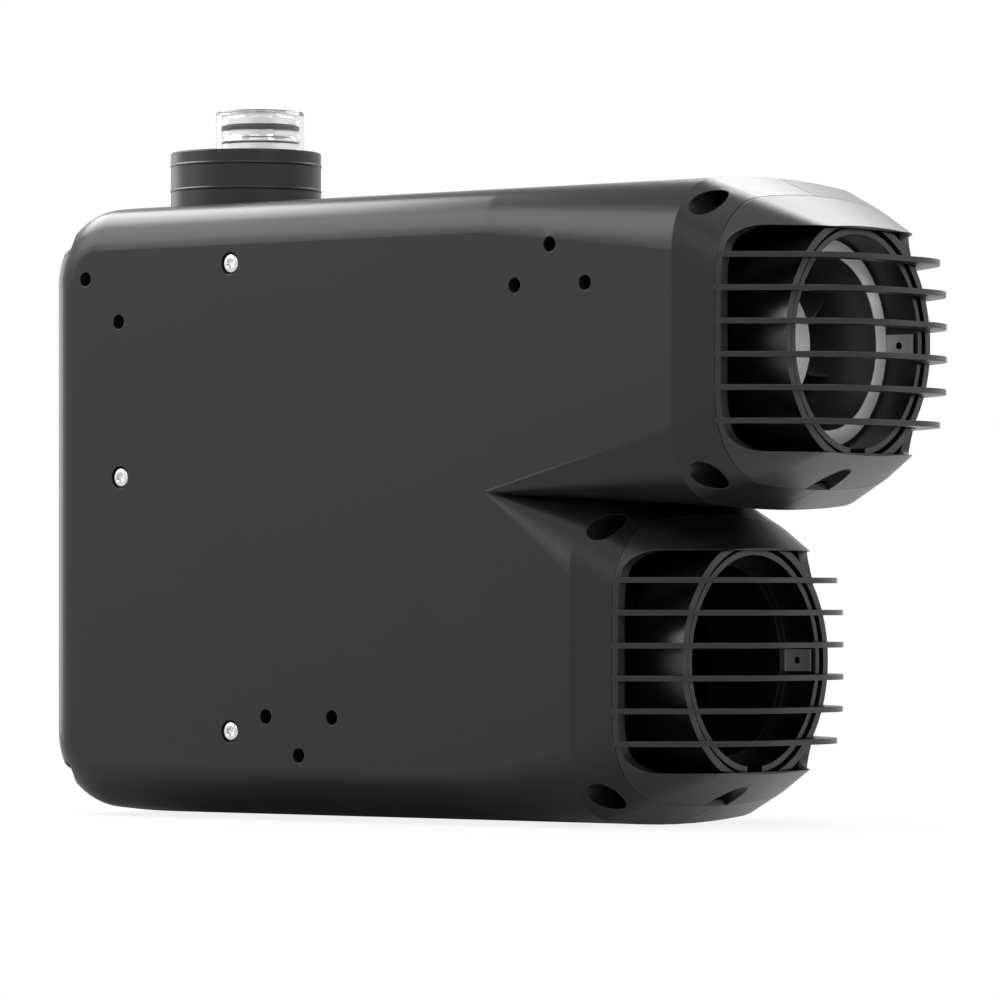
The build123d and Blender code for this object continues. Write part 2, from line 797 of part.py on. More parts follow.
# Combustion-air collar: a short tube through the top of the casing, with two thin ribs outside
# and a flange inside
with BuildPart() as collar_flange:
    foot = Plane.XY.offset(collar_foot)
    extrude(rings(foot, collar_place, collar_radius + 2 * collar_wall), amount=collar_wall)
    add(fit_form, mode=Mode.INTERSECT)
with BuildPart() as collar:
    add(collar_flange.part)
    extrude(rings(foot, collar_place, collar_radius), amount=collar_top - collar_foot)
    chamfer(collar.faces().sort_by(Axis.Z)[-1].edges(), collar_wall / 4)
    for drop in collar_rib_drops:
        rib_plane = Plane.XY.offset(collar_top - drop - collar_rib_width / 2)
        extrude(rings(rib_plane, collar_place, collar_radius + collar_rib_height), amount=collar_rib_width)
    extrude(
        rings(foot, collar_place, collar_radius - collar_wall), amount=collar_top - collar_foot,
        mode=Mode.SUBTRACT,
    )
write(collar.part, "combustion_air_collar")

# Exhaust spigot: a bright tube with a bead and, above it, a groove for the O-ring
with BuildPart() as spigot:
    foot = Plane.XY.offset(exhaust_joint_z)
    extrude(rings(foot, spigot_place, spigot_radius), amount=spigot_top - exhaust_joint_z)
    chamfer(spigot.faces().sort_by(Axis.Z)[-1].edges(), spigot_wall / 3)
    bead_plane = Plane.XY.offset(spigot_top - spigot_bead_drop - spigot_wall / 2)
    extrude(rings(bead_plane, spigot_place, spigot_bead_radius), amount=spigot_wall)
    extrude(
        rings(Plane.XY.offset(o_ring_height - o_ring_radius - thread_gap), spigot_place,
              spigot_bead_radius, spigot_radius - o_ring_radius - thread_gap),
        amount=2 * (o_ring_radius + thread_gap), mode=Mode.SUBTRACT,
    )
    extrude(
        rings(foot, spigot_place, spigot_radius - spigot_wall), amount=spigot_top - exhaust_joint_z,
        mode=Mode.SUBTRACT,
    )
write(spigot.part, "exhaust_spigot")

with BuildPart() as o_ring:
    with Locations((spigot_x, 0, o_ring_height)):
        Torus(spigot_radius, o_ring_radius)
write(o_ring.part, "exhaust_o_ring")

# Clear cap that is pushed over the spigot until the heater is installed
with BuildPart() as cap:
    foot = Plane.XY.offset(cap_foot)
    extrude(rings(foot, spigot_place, cap_radius), amount=cap_top - cap_foot)
    fillet(cap.faces().sort_by(Axis.Z)[-1].edges(), cap_wall)
    extrude(
        rings(foot, spigot_place, cap_radius - cap_wall), amount=cap_top - cap_foot - cap_wall,
        mode=Mode.SUBTRACT,
    )
write(cap.part, "spigot_cap")

# Circulation fan: a light shroud with four struts, a bladed rotor and its motor behind
shroud_front_x = upper_mouth_x - shroud_setback
hub_front_x = upper_mouth_x - hub_setback
strut_x = hub_front_x - hub_length - seat_gap - 2 * running_gap
fan_place = [(0, upper_z)]

with BuildPart() as fan_shroud:
    back = Plane.YZ.offset(shroud_front_x - shroud_length)
    extrude(rings(back, fan_place, shroud_radius, shroud_bore), amount=shroud_length)
    extrude(
        rings(back, fan_place, duct_radius + socket_wall, shroud_bore),
        amount=shroud_setback + shroud_length - socket_length - seat_gap,
    )
    with BuildSketch(Plane.YZ.offset(strut_x - strut_width)):
        with Locations((0, upper_z)):
            with PolarLocations(0, strut_count, strut_angle):
                Rectangle(2 * (shroud_bore + cut_margin), strut_width)
            Circle(fan_motor_radius)
            Circle(fan_shaft_radius + running_gap, mode=Mode.SUBTRACT)
    extrude(amount=strut_width)
write(fan_shroud.part, "fan_shroud")

with BuildPart() as fan_motor:
    back = Plane.YZ.offset(strut_x - strut_width - seat_gap - fan_motor_length)
    extrude(rings(back, fan_place, fan_motor_radius), amount=fan_motor_length)
    chamfer(fan_motor.faces().sort_by(Axis.X)[0].edges(), 2 * running_gap)
    extrude(rings(back.offset(fan_motor_length / 2), fan_place, fan_shaft_radius + running_gap),
            amount=fan_motor_length, mode=Mode.SUBTRACT)
write(fan_motor.part, "circulation_fan_motor")

with BuildPart() as blade:
    blade_x = hub_front_x - hub_length / 2 + hub_wall
    for reach, pitch in (
        (hub_radius - hub_wall / 2, blade_root_pitch), (blade_tip_radius, blade_tip_pitch),
    ):
        blade_plane = Plane(origin=(blade_x, 0, upper_z + reach), x_dir=(1, 0, 0), z_dir=(0, 0, 1))
        with BuildSketch(blade_plane.rotated((0, 0, pitch))):
            RectangleRounded(blade_chord, blade_thickness, blade_edge_radius)
    loft()
with BuildPart() as circulation_fan:
    hub_back = Plane.YZ.offset(hub_front_x - hub_length)
    extrude(rings(hub_back, fan_place, hub_radius), amount=hub_length)
    fillet(circulation_fan.faces().sort_by(Axis.X)[-1].edges(), hub_wall)
    extrude(rings(hub_back, fan_place, hub_radius - hub_wall, 3 * fan_shaft_radius),
            amount=hub_length - hub_wall, mode=Mode.SUBTRACT)
    fan_axis = Axis((0, 0, upper_z), (1, 0, 0))
    for index in range(blade_count):
        add(blade.part.rotate(fan_axis, index * 360.0 / blade_count))
    extrude(rings(hub_back, fan_place, fan_shaft_radius), amount=-strut_width - fan_motor_length / 2)
write(circulation_fan.part, "circulation_fan")

# Bulkhead: a sheet between the burner side and the air side, with a flange along the near plate
flange_y = half_width - wall - side_boss_height - nut_rim - seat_gap
screw_offset = flange_half - flange_screw_inset
flange_screw_places = [
    (y, burner_z + z) for y in (-screw_offset, screw_offset) for z in (-screw_offset, screw_offset)
]
electrode_place = [(0, burner_z + electrode_rise)]
with BuildPart() as bulkhead:
    block((bulkhead_x, bulkhead_x + sheet), (-flange_y, half_width), (0.0, casing_height))
    add(fit_form, mode=Mode.INTERSECT)
    block(
        (bulkhead_x, bulkhead_x + bulkhead_flange), (-flange_y, -flange_y + sheet),
        (side_places[2][1] - side_boss_radius, side_places[0][1] + side_boss_radius),
    )
    face = Plane.YZ.offset(bulkhead_x)
    extrude(rings(face, [(0, burner_z)], burner_radius + screw_gap), amount=sheet, mode=Mode.SUBTRACT)
    extrude(rings(face, [(0, exhaust_z)], spigot_radius + screw_gap), amount=sheet, mode=Mode.SUBTRACT)
    extrude(
        rings(face, flange_screw_places, flange_screw_radius + screw_gap), amount=sheet,
        mode=Mode.SUBTRACT,
    )
    extrude(rings(face, electrode_place, electrode_radius + screw_gap), amount=sheet, mode=Mode.SUBTRACT)
    extrude(
        rings(Plane.XZ.offset(flange_y), [side_places[0], side_places[2]], nut_radius + thread_gap),
        amount=-sheet, mode=Mode.SUBTRACT,
    )
write(bulkhead.part, "bulkhead")

with BuildPart() as rivet_nuts:
    extrude(rings(Plane.XZ.offset(flange_y), side_places, nut_radius + nut_rim), amount=nut_rim)
    extrude(rings(Plane.XZ.offset(flange_y), side_places, nut_radius), amount=-nut_length)
    extrude(
        rings(Plane.XZ.offset(flange_y + nut_rim), side_places, side_screw_radius + thread_gap),
        amount=-nut_length - nut_rim, mode=Mode.SUBTRACT,
    )
write(rivet_nuts.part, "rivet_nuts")

# Heat exchanger: a casting with fins along the air's way on all four sides, its rear face on a
# gasket, with one bore for the burner and one for the exhaust, joined at the front
exchanger_x = bulkhead_x + sheet + gasket_thickness + 2 * seat_gap
exchanger_front = exchanger_x + exchanger_length
exchanger_middle = (exchanger_low + exchanger_high) / 2
with BuildPart() as exchanger:
    with BuildSketch(Plane.YZ.offset(exchanger_x)):
        with Locations((0, exchanger_middle)):
            RectangleRounded(2 * exchanger_half, exchanger_high - exchanger_low, exchanger_corner)
    extrude(amount=exchanger_length)
    fin_rows = int((exchanger_high - exchanger_low - 2 * exchanger_corner) / exchanger_fin_pitch) + 1
    fin_columns = int(2 * (exchanger_half - exchanger_corner) / exchanger_fin_pitch) + 1
    with BuildSketch(Plane.YZ.offset(exchanger_x + fin_setback)):
        with Locations((0, exchanger_middle)):
            with GridLocations(0, exchanger_fin_pitch, 1, fin_rows):
                Rectangle(2 * (exchanger_half + exchanger_fin_reach), exchanger_fin)
            with GridLocations(exchanger_fin_pitch, 0, fin_columns, 1):
                Rectangle(exchanger_fin, exchanger_high - exchanger_low + 2 * exchanger_fin_reach)
    extrude(amount=exchanger_length - fin_setback)
    cavity = exchanger_length - exchanger_end_wall
    face = Plane.YZ.offset(exchanger_x)
    extrude(rings(face, [(0, burner_z)], burner_bore), amount=cavity, mode=Mode.SUBTRACT)
    extrude(rings(face, [(0, exhaust_z)], exhaust_bore), amount=cavity, mode=Mode.SUBTRACT)
    block(
        (exchanger_x + cavity - 2 * exhaust_bore, exchanger_x + cavity),
        (-exhaust_bore / 2, exhaust_bore / 2), (burner_z, exhaust_z), mode=Mode.SUBTRACT,
    )
    extrude(
        rings(face, flange_screw_places, flange_screw_radius + thread_gap), amount=flange_screw_reach,
        mode=Mode.SUBTRACT,
    )
write(exchanger.part, "heat_exchanger")

with BuildPart() as gasket:
    face = Plane.YZ.offset(bulkhead_x + sheet + seat_gap)
    with BuildSketch(face):
        with Locations((0, exchanger_middle)):
            RectangleRounded(2 * exchanger_half, exchanger_high - exchanger_low, exchanger_corner)
        with Locations((0, burner_z)):
            Circle(burner_radius + screw_gap, mode=Mode.SUBTRACT)
        with Locations((0, exhaust_z)):
            Circle(spigot_radius + screw_gap, mode=Mode.SUBTRACT)
        with Locations(*flange_screw_places):
            Circle(flange_screw_radius + screw_gap, mode=Mode.SUBTRACT)
        with Locations(*electrode_place):
            Circle(electrode_radius + screw_gap, mode=Mode.SUBTRACT)
    extrude(amount=gasket_thickness)
write(gasket.part, "heat_exchanger_gasket")

# Burner: a closed tube with rows of ports, on a square flange held by four screws
flange_x = bulkhead_x - flange_plate - seat_gap
with BuildPart() as burner:
    face = Plane.YZ.offset(flange_x)
    with BuildSketch(face):
        with Locations((0, burner_z)):
            RectangleRounded(2 * flange_half, 2 * flange_half, 3 * flange_plate)
    extrude(amount=flange_plate)
    extrude(rings(face, [(0, burner_z)], burner_radius), amount=burner_length)
    extrude(
        rings(face, [(0, burner_z)], burner_radius - burner_wall), amount=burner_length - burner_wall,
        mode=Mode.SUBTRACT,
    )
    extrude(
        rings(face, flange_screw_places, flange_screw_radius + screw_gap), amount=flange_plate,
        mode=Mode.SUBTRACT,
    )
    extrude(
        rings(face, electrode_place, electrode_radius + screw_gap), amount=flange_plate,
        mode=Mode.SUBTRACT,
    )
    with BuildSketch(Plane.XZ.offset(-burner_radius - cut_margin)):
        with Locations((flange_x + burner_length / 2 + port_pitch, burner_z)):
            with GridLocations(port_pitch, 0, port_count, 1):
                SlotOverall(2 * burner_radius - port_pitch, port_width, rotation=90)
    extrude(amount=2 * (burner_radius + cut_margin), mode=Mode.SUBTRACT)
write(burner.part, "burner")

with BuildPart() as burner_screws:
    face = Plane.YZ.offset(flange_x)
    extrude(
        rings(face, flange_screw_places, flange_screw_head_radius), amount=-flange_screw_radius,
    )
    extrude(
        rings(face, flange_screw_places, flange_screw_radius),
        amount=exchanger_x - flange_x + flange_screw_reach - cut_margin,
    )
write(burner_screws.part, "burner_screws")

# Mixing chamber: the box in which gas and air meet, between the blower and the burner
mixer_front = flange_x - seat_gap
mixer_rear = mixer_front - mixer_length
jet_x = (mixer_rear + mixer_front) / 2
with BuildPart() as mixer:
    block(
        (mixer_rear, mixer_front), (-mixer_half_width, mixer_half_width),
        (burner_z - mixer_half, burner_z + mixer_half),
    )
    fillet(mixer.edges().filter_by(Axis.X), 2 * blower_wall)
    extrude(rings(Plane.YZ.offset(mixer_rear), [(0, burner_z)], burner_radius - burner_wall),
            amount=mixer_length, mode=Mode.SUBTRACT)
    extrude(
        rings(Plane.XZ.offset(-mixer_half_width), [(jet_x, burner_z)], jet_pipe_radius + thread_gap),
        amount=mixer_half_width - burner_radius + 2 * burner_wall, mode=Mode.SUBTRACT,
    )
write(mixer.part, "mixing_chamber")

# Combustion blower: a scroll housing with a square outlet, a cover with the inlet, an impeller
# with curved vanes and a motor on the far side
blower_x = rear_x + blower_setback
blower_place = [(blower_x, blower_z)]
near_face = Plane.XZ.offset(-blower_near_y)
outlet_low, outlet_high = burner_z - mixer_half, blower_z + blower_radius
with BuildPart() as blower:
    depth = blower_far_y - blower_near_y
    extrude(rings(near_face, blower_place, blower_radius), amount=-depth)
    block((blower_x, mixer_rear - seat_gap), (blower_near_y, blower_far_y), (outlet_low, outlet_high))
    extrude(rings(near_face, blower_place, blower_radius - blower_wall), amount=blower_wall - depth,
            mode=Mode.SUBTRACT)
    block(
        (blower_x, mixer_rear), (blower_near_y, blower_far_y - blower_wall),
        (outlet_low + blower_wall, outlet_high - blower_wall), mode=Mode.SUBTRACT,
    )
    extrude(rings(near_face, blower_place, fan_shaft_radius + running_gap), amount=-depth,
            mode=Mode.SUBTRACT)
write(blower.part, "blower_housing")

with BuildPart() as blower_cover:
    face = Plane.XZ.offset(-blower_near_y + seat_gap)
    extrude(rings(face, blower_place, blower_radius), amount=sheet)
    block(
        (blower_x, mixer_rear - seat_gap),
        (blower_near_y - seat_gap - sheet, blower_near_y - seat_gap), (outlet_low, outlet_high),
    )
    extrude(rings(face, blower_place, blower_inlet_radius), amount=sheet, mode=Mode.SUBTRACT)
write(blower_cover.part, "blower_cover")

impeller_back = blower_far_y - blower_wall - 2 * running_gap
with BuildPart() as impeller:
    back = Plane.XZ.offset(-impeller_back)
    extrude(rings(back, blower_place, impeller_radius), amount=sheet)
    extrude(rings(back, blower_place, impeller_hub_radius), amount=impeller_length / 2)
    with BuildSketch(back.offset(sheet)):
        with Locations(*blower_place):
            with PolarLocations(0, impeller_vanes):
                with Locations((vane_circle, 0)):
                    Rectangle(vane_length, sheet, rotation=vane_angle)
    extrude(amount=impeller_length - sheet)
    extrude(
        rings(back.offset(impeller_length - sheet), blower_place, impeller_radius, vane_circle),
        amount=sheet,
    )
    extrude(rings(back, blower_place, fan_shaft_radius), amount=-blower_wall - blower_motor_length / 2)
write(impeller.part, "combustion_impeller")

with BuildPart() as blower_motor:
    face = Plane.XZ.offset(-blower_far_y - seat_gap)
    extrude(rings(face, blower_place, blower_motor_radius), amount=-blower_motor_length)
    chamfer(blower_motor.faces().sort_by(Axis.Y)[-1].edges(), blower_wall / 2)
    extrude(rings(face, blower_place, fan_shaft_radius + running_gap),
            amount=-blower_motor_length / 2 - cut_margin, mode=Mode.SUBTRACT)
write(blower_motor.part, "combustion_motor")

# Blower bracket: a strip from the side screw inwards to the blower's cover
bracket_y = blower_near_y - 2 * seat_gap - sheet
bracket_screw_x, bracket_screw_z = side_places[1]
with BuildPart() as bracket:
    half = side_boss_radius + bracket_plate_margin
    block(
        (bracket_screw_x - half, bracket_screw_x + half), (-flange_y, -flange_y + sheet),
        (bracket_screw_z - half, bracket_screw_z + half),
    )
    block(
        (bracket_screw_x + half - sheet, bracket_screw_x + half), (-flange_y, bracket_y),
        (bracket_screw_z - half, bracket_screw_z + half),
    )
    block(
        (bracket_screw_x + half - sheet, bracket_screw_x + 3 * half), (bracket_y - sheet, bracket_y),
        (blower_z + blower_inlet_radius + sheet, bracket_screw_z + half),
    )
    extrude(rings(Plane.XZ.offset(flange_y), [side_places[1]], nut_radius + thread_gap), amount=-sheet,
            mode=Mode.SUBTRACT)
write(bracket.part, "blower_bracket")

# Exhaust elbow from the exchanger up to the spigot, and the clamp round their joint
with BuildPart() as elbow:
    with BuildLine(Plane.XZ) as elbow_path:
        FilletPolyline(
            (exchanger_x + elbow_entry, exhaust_z), (spigot_x, exhaust_z),
            (spigot_x, exhaust_joint_z - seat_gap), radius=exhaust_bend_radius,
        )
    with BuildSketch(Plane.YZ.offset(exchanger_x + elbow_entry)):
        with Locations((0, exhaust_z)):
            Circle(spigot_radius)
            Circle(spigot_radius - exhaust_wall, mode=Mode.SUBTRACT)
    sweep(path=elbow_path.wires()[0])
write(elbow.part, "exhaust_elbow")

with BuildPart() as clamp:
    face = Plane.XY.offset(exhaust_joint_z - clamp_width / 2)
    extrude(
        rings(face, spigot_place, spigot_radius + thread_gap + sheet, spigot_radius + thread_gap),
        amount=clamp_width,
    )
    block(
        (spigot_x + spigot_radius + sheet, spigot_x + spigot_radius + clamp_width),
        (-sheet, sheet), (exhaust_joint_z - clamp_width / 2, exhaust_joint_z + clamp_width / 2),
    )
write(clamp.part, "exhaust_clamp")

# Gas side: valve with two coils, inlet pipe with its nut, and the pipe to the mixing chamber
valve_x = rear_x + pocket_depth + wall + nut_length
with BuildPart() as valve:
    block((valve_x, valve_x + valve_length), (gas_y - valve_half, gas_y + valve_half),
          (gas_z - valve_half, gas_z + valve_half))
    chamfer(valve.edges().filter_by(Axis.X), 2 * sheet)
    extrude(rings(Plane.YZ.offset(valve_x), [(gas_y, gas_z)], gas_pipe_radius - pipe_wall),
            amount=valve_length, mode=Mode.SUBTRACT)
write(valve.part, "gas_valve")

with BuildPart() as coils:
    face = Plane.XZ.offset(-gas_y + valve_half + seat_gap)
    steps = (-coil_radius - coil_gap, coil_radius + coil_gap)
    places = [(valve_x + valve_length / 2 + step, gas_z) for step in steps]
    extrude(rings(face, places, coil_radius), amount=coil_length)
    extrude(rings(face, places, coil_radius / 3), amount=coil_length + sheet)
write(coils.part, "gas_valve_coils")

with BuildPart() as gas_pipe:
    face = Plane.YZ.offset(rear_x + gas_pipe_setback)
    length = valve_x - seat_gap - rear_x - gas_pipe_setback
    extrude(rings(face, [(gas_y, gas_z)], gas_pipe_radius, gas_pipe_radius - pipe_wall), amount=length)
    bead_face = Plane.YZ.offset(rear_x + pocket_depth - seat_gap - gas_bead_length)
    extrude(
        rings(bead_face, [(gas_y, gas_z)], gas_bead_radius, gas_pipe_radius - pipe_wall),
        amount=gas_bead_length,
    )
write(gas_pipe.part, "gas_inlet_pipe")

with BuildPart() as gas_nut:
    with BuildSketch(Plane.YZ.offset(rear_x + pocket_depth + wall + seat_gap)):
        with Locations((gas_y, gas_z)):
            RegularPolygon(2 * gas_pipe_radius, 6)
            Circle(gas_pipe_radius + thread_gap, mode=Mode.SUBTRACT)
    extrude(amount=nut_length - 2 * seat_gap)
write(gas_nut.part, "gas_union_nut")

with BuildPart() as jet_pipe:
    with BuildLine() as jet_path:
        FilletPolyline(
            (valve_x + valve_length + seat_gap, gas_y, gas_z), (jet_x, gas_y, gas_z),
            (jet_x, gas_y, burner_z), (jet_x, burner_radius, burner_z), radius=3 * jet_pipe_radius,
        )
    sweep(
        rings(Plane.YZ.offset(valve_x + valve_length + seat_gap), [(gas_y, gas_z)], jet_pipe_radius,
              jet_pipe_radius - pipe_wall),
        path=jet_path.wires()[0],
    )
write(jet_pipe.part, "gas_jet_pipe")

with BuildPart() as electrode:
    face = Plane.YZ.offset(flange_x - electrode_length / 2)
    extrude(rings(face, electrode_place, electrode_radius), amount=electrode_length)
    extrude(
        rings(face.offset(-electrode_reach), electrode_place, electrode_rod_radius),
        amount=electrode_length + 2 * electrode_reach,
    )
write(electrode.part, "ignition_electrode")

# Electrical inlet: a round socket with four pins, its flange against the floor of the rear pocket
with BuildPart() as inlet:
    floor = Plane.YZ.offset(rear_x + pocket_depth - seat_gap)
    place = [(gas_y, inlet_z)]
    extrude(rings(floor, place, inlet_radius), amount=inlet_length / 2)
    extrude(rings(floor, place, inlet_flange_radius), amount=-2 * sheet)
    extrude(rings(floor, place, inlet_radius), amount=-inlet_length / 3)
    extrude(
        rings(floor, place, inlet_radius - sheet), amount=-inlet_length / 3, mode=Mode.SUBTRACT,
    )
    with BuildSketch(floor):
        with Locations(*place):
            with PolarLocations(inlet_pin_circle, 4):
                Circle(inlet_pin_radius)
    extrude(amount=2 * sheet - inlet_length / 3)
write(inlet.part, "electrical_inlet")

# Control board on four posts along the far wall, with its components
board_x = rear_x + board_setback
post_places = [
    (x, z)
    for x in (board_x + board_post_inset, board_x + board_length - board_post_inset)
    for z in (board_low + board_post_inset, board_high - board_post_inset)
]
with BuildPart() as board:
    block(
        (board_x, board_x + board_length), (board_y, board_y + board_thickness),
        (board_low, board_high),
    )
write(board.part, "control_board")

with BuildPart() as board_posts:
    face = Plane.XZ.offset(-board_y - board_thickness - seat_gap)
    extrude(
        rings(face, post_places, post_radius),
        amount=board_y + board_thickness + 2 * seat_gap - half_width + wall,
    )
write(board_posts.part, "board_posts")

with BuildPart() as components:
    top = board_y - seat_gap
    step = (board_length - 4 * board_post_inset) / len(component_sizes)
    for row in range(component_rows):
        low_z = board_low + 2 * board_post_inset + row * component_row_pitch
        for column, (length, height, depth) in enumerate(component_sizes):
            low_x = board_x + 2 * board_post_inset + column * step
            block((low_x, low_x + length), (top - height, top), (low_z, low_z + depth))
write(components.part, "board_components")

# Air divider: a flat sheet that keeps the fan's stream apart from the outlet's, cut out round the
# exchanger
divider_x = rear_x + divider_setback
with BuildPart() as divider:
    block(
        (divider_x, divider_x + divider_length), (-half_width, half_width),
        (valley_height - sheet / 2, valley_height + sheet / 2),
    )
    add(fit_form, mode=Mode.INTERSECT)
    block(
        (divider_x - cut_margin, exchanger_front + 2 * cut_margin),
        (-divider_slot_half, divider_slot_half),
        (valley_height - sheet, valley_height + sheet), mode=Mode.SUBTRACT,
    )
write(divider.part, "air_divider")

# Air temperature sensor on the lower housing's flange and overheat cut-out on the exchanger
with BuildPart() as sensor:
    flange_back = Plane.YZ.offset(lower_mouth_x + housing_lead - housing_length - seat_gap)
    place = [(sensor_side_gap - half_width, lower_z)]
    extrude(rings(flange_back, place, 2 * sensor_radius), amount=-sensor_radius)
    extrude(rings(flange_back, place, sensor_radius), amount=-sensor_length)
    fillet(sensor.faces().sort_by(Axis.X)[0].edges(), sensor_radius / 2)
write(sensor.part, "air_temperature_sensor")

with BuildPart() as switch:
    face = Plane.YZ.offset(exchanger_front + seat_gap)
    extrude(rings(face, [(0, switch_z)], switch_radius), amount=switch_height)
    extrude(rings(face, [(0, switch_z)], switch_radius / 2), amount=switch_height + 2 * sheet)
write(switch.part, "overheat_switch")
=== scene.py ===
import bmesh
import bpy
import math
import numpy as np
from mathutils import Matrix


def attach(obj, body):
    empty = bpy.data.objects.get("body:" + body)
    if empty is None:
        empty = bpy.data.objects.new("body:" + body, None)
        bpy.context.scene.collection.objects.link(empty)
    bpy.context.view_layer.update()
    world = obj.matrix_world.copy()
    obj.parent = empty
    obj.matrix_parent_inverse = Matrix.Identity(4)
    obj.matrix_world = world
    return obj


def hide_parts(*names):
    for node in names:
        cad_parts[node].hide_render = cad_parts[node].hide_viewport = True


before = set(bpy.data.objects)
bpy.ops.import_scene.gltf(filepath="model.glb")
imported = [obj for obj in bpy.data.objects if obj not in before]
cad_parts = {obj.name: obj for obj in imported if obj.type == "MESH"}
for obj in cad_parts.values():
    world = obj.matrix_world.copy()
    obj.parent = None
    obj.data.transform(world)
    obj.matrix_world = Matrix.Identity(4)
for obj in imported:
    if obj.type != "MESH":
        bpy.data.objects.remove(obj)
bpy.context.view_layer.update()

# Studio. The heater stands on white paper in a pale room with grey shade round the camera. Soft
# lamps hang overhead, on the camera's side, before the outlets and high behind them, and two more
# stand at the rear end, one high and one low. The camera has a long lens and looks level.


def linear(code):
    """One sRGB hex colour as linear red, green and blue with full alpha."""
    parts = np.array([int(code[i:i + 2], 16) for i in (1, 3, 5)]) / 255.0
    return (*np.where(parts <= 0.04045, parts / 12.92, ((parts + 0.055) / 1.055) ** 2.4), 1.0)


def add_node(tree, kind, settings=None, values=None, links=None):
    """A node of a kind with its settings, the values of its sockets and the links into them."""
    made = tree.nodes.new(kind)
    for key, value in (settings or {}).items():
        setattr(made, key, value)
    for key, value in (values or {}).items():
        made.inputs[key].default_value = value
    for key, output in (links or {}).items():
        tree.links.new(output, made.inputs[key])
    return made


def lamp(name, place, aim, size, watts):
    """A soft square lamp of a size in metres, at a place and pointing at an aim."""
    data = bpy.data.lights.new(name, "AREA")
    data.energy, data.size = watts, size
    made = bpy.data.objects.new(name, data)
    made.location = place
    away = np.array(place) - np.array(aim)
    tilt = math.atan2(math.hypot(away[0], away[1]), away[2])
    made.rotation_euler = (tilt, 0, math.atan2(away[0], -away[1]))
    bpy.context.scene.collection.objects.link(made)


def join(tree, operation, first, second):
    """The output of a maths node over two sockets."""
    return add_node(tree, "ShaderNodeMath", {"operation": operation},
                    links={0: first, 1: second}).outputs[0]


def fade(tree, value, low, high, at_low, at_high):
    """A socket's value, carried smoothly from one range to another."""
    return add_node(tree, "ShaderNodeMapRange", {"interpolation_type": "SMOOTHSTEP"},
                    {"From Min": low, "From Max": high, "To Min": at_low, "To Max": at_high},
                    {"Value": value}).outputs[0]


scene = bpy.context.scene
scene.view_settings.view_transform = "Standard"
camera_data = bpy.data.cameras.new("camera")
camera_data.sensor_width, camera_data.lens = 36.0, 217.8
camera_data.shift_y = 0.102
camera = bpy.data.objects.new("camera", camera_data)
camera.location = (1.760959, -2.249819, 0.1027)
camera.rotation_euler = (math.radians(90.0), 0.0, math.radians(38.157))
scene.collection.objects.link(camera)
scene.camera = camera

world = bpy.data.worlds.new("pale_room")
world.use_nodes = True
room = world.node_tree
room.nodes.clear()
ray = add_node(room, "ShaderNodeLightPath")
heading = add_node(room, "ShaderNodeTexCoord").outputs["Generated"]


def towards(direction, low, high, at_low, at_high):
    """A strength that changes smoothly with the cosine between a ray and a direction."""
    cosine = add_node(room, "ShaderNodeVectorMath", {"operation": "DOT_PRODUCT"},
                      {1: direction}, {0: heading})
    return fade(room, cosine.outputs["Value"], low, high, at_low, at_high)


shade_at_camera = towards((0.777, -0.629, 0.0), 0.65, 0.97, 1.0, 0.75)
darker_ceiling = towards((0.0, 0.0, 1.0), 0.15, 0.6, 1.0, 0.55)
high_window_glow = towards((-0.622, -0.59, 0.52), 0.89, 0.985, 0.0, 4.8)
walls = join(room, "MULTIPLY", shade_at_camera, darker_ceiling)
brightness = join(room, "ADD", walls, high_window_glow)
soft = add_node(room, "ShaderNodeBackground",
                values={"Color": linear("#f4f4f4"), "Strength": 0.75})
mirrored = add_node(room, "ShaderNodeBackground", values={"Color": linear("#ffffff")},
                    links={"Strength": brightness})
seen = add_node(room, "ShaderNodeBackground",
                values={"Color": linear("#ffffff"), "Strength": 1.0})
sharp_ray = join(room, "MAXIMUM", ray.outputs["Is Glossy Ray"], ray.outputs["Is Transmission Ray"])
indirect = add_node(room, "ShaderNodeMixShader",
                    links={0: sharp_ray, 1: soft.outputs[0], 2: mirrored.outputs[0]})
all_rays = add_node(room, "ShaderNodeMixShader",
                    links={0: ray.outputs["Is Camera Ray"], 1: indirect.outputs[0],
                           2: seen.outputs[0]})
add_node(room, "ShaderNodeOutputWorld", links={"Surface": all_rays.outputs[0]})
scene.world = world

lamp("lamp_high_rear", (-0.50, -0.01, 0.64), (-0.19, -0.05, 0.28), 0.34, 3.0)
lamp("lamp_high_behind", (-0.24, 0.82, 1.04), (0.18, 0.0, 0.27), 0.6, 6.0)
lamp("lamp_low_rear", (-1.5, 0.15, 0.3), (-0.2, 0.0, 0.15), 0.7, 2.6)
lamp("lamp_overhead", (0.2, -0.3, 1.7), (0.0, 0.0, 0.2), 1.2, 4.5)
lamp("lamp_camera_side", (0.6, -1.9, 1.5), (0.0, 0.0, 0.15), 1.2, 6.0)
lamp("lamp_before_outlets", (0.8, -0.3, 0.80), (0.17, 0.0, 0.22), 0.26, 2.8)


def grid_faces(rows, columns, wrap_rows=False, wrap_columns=False):
    """Quads between the neighbours on a grid of points that is numbered row by row. A wrapped
    direction also joins its last line of points to its first."""
    down = np.arange(rows if wrap_rows else rows - 1)[:, None]
    across = np.arange(columns if wrap_columns else columns - 1)[None, :]
    next_down, next_across = (down + 1) % rows, (across + 1) % columns
    corners = (down * columns + across, next_down * columns + across,
               next_down * columns + next_across, down * columns + next_across)
    return np.stack(np.broadcast_arrays(*corners), -1).reshape(-1, 4)


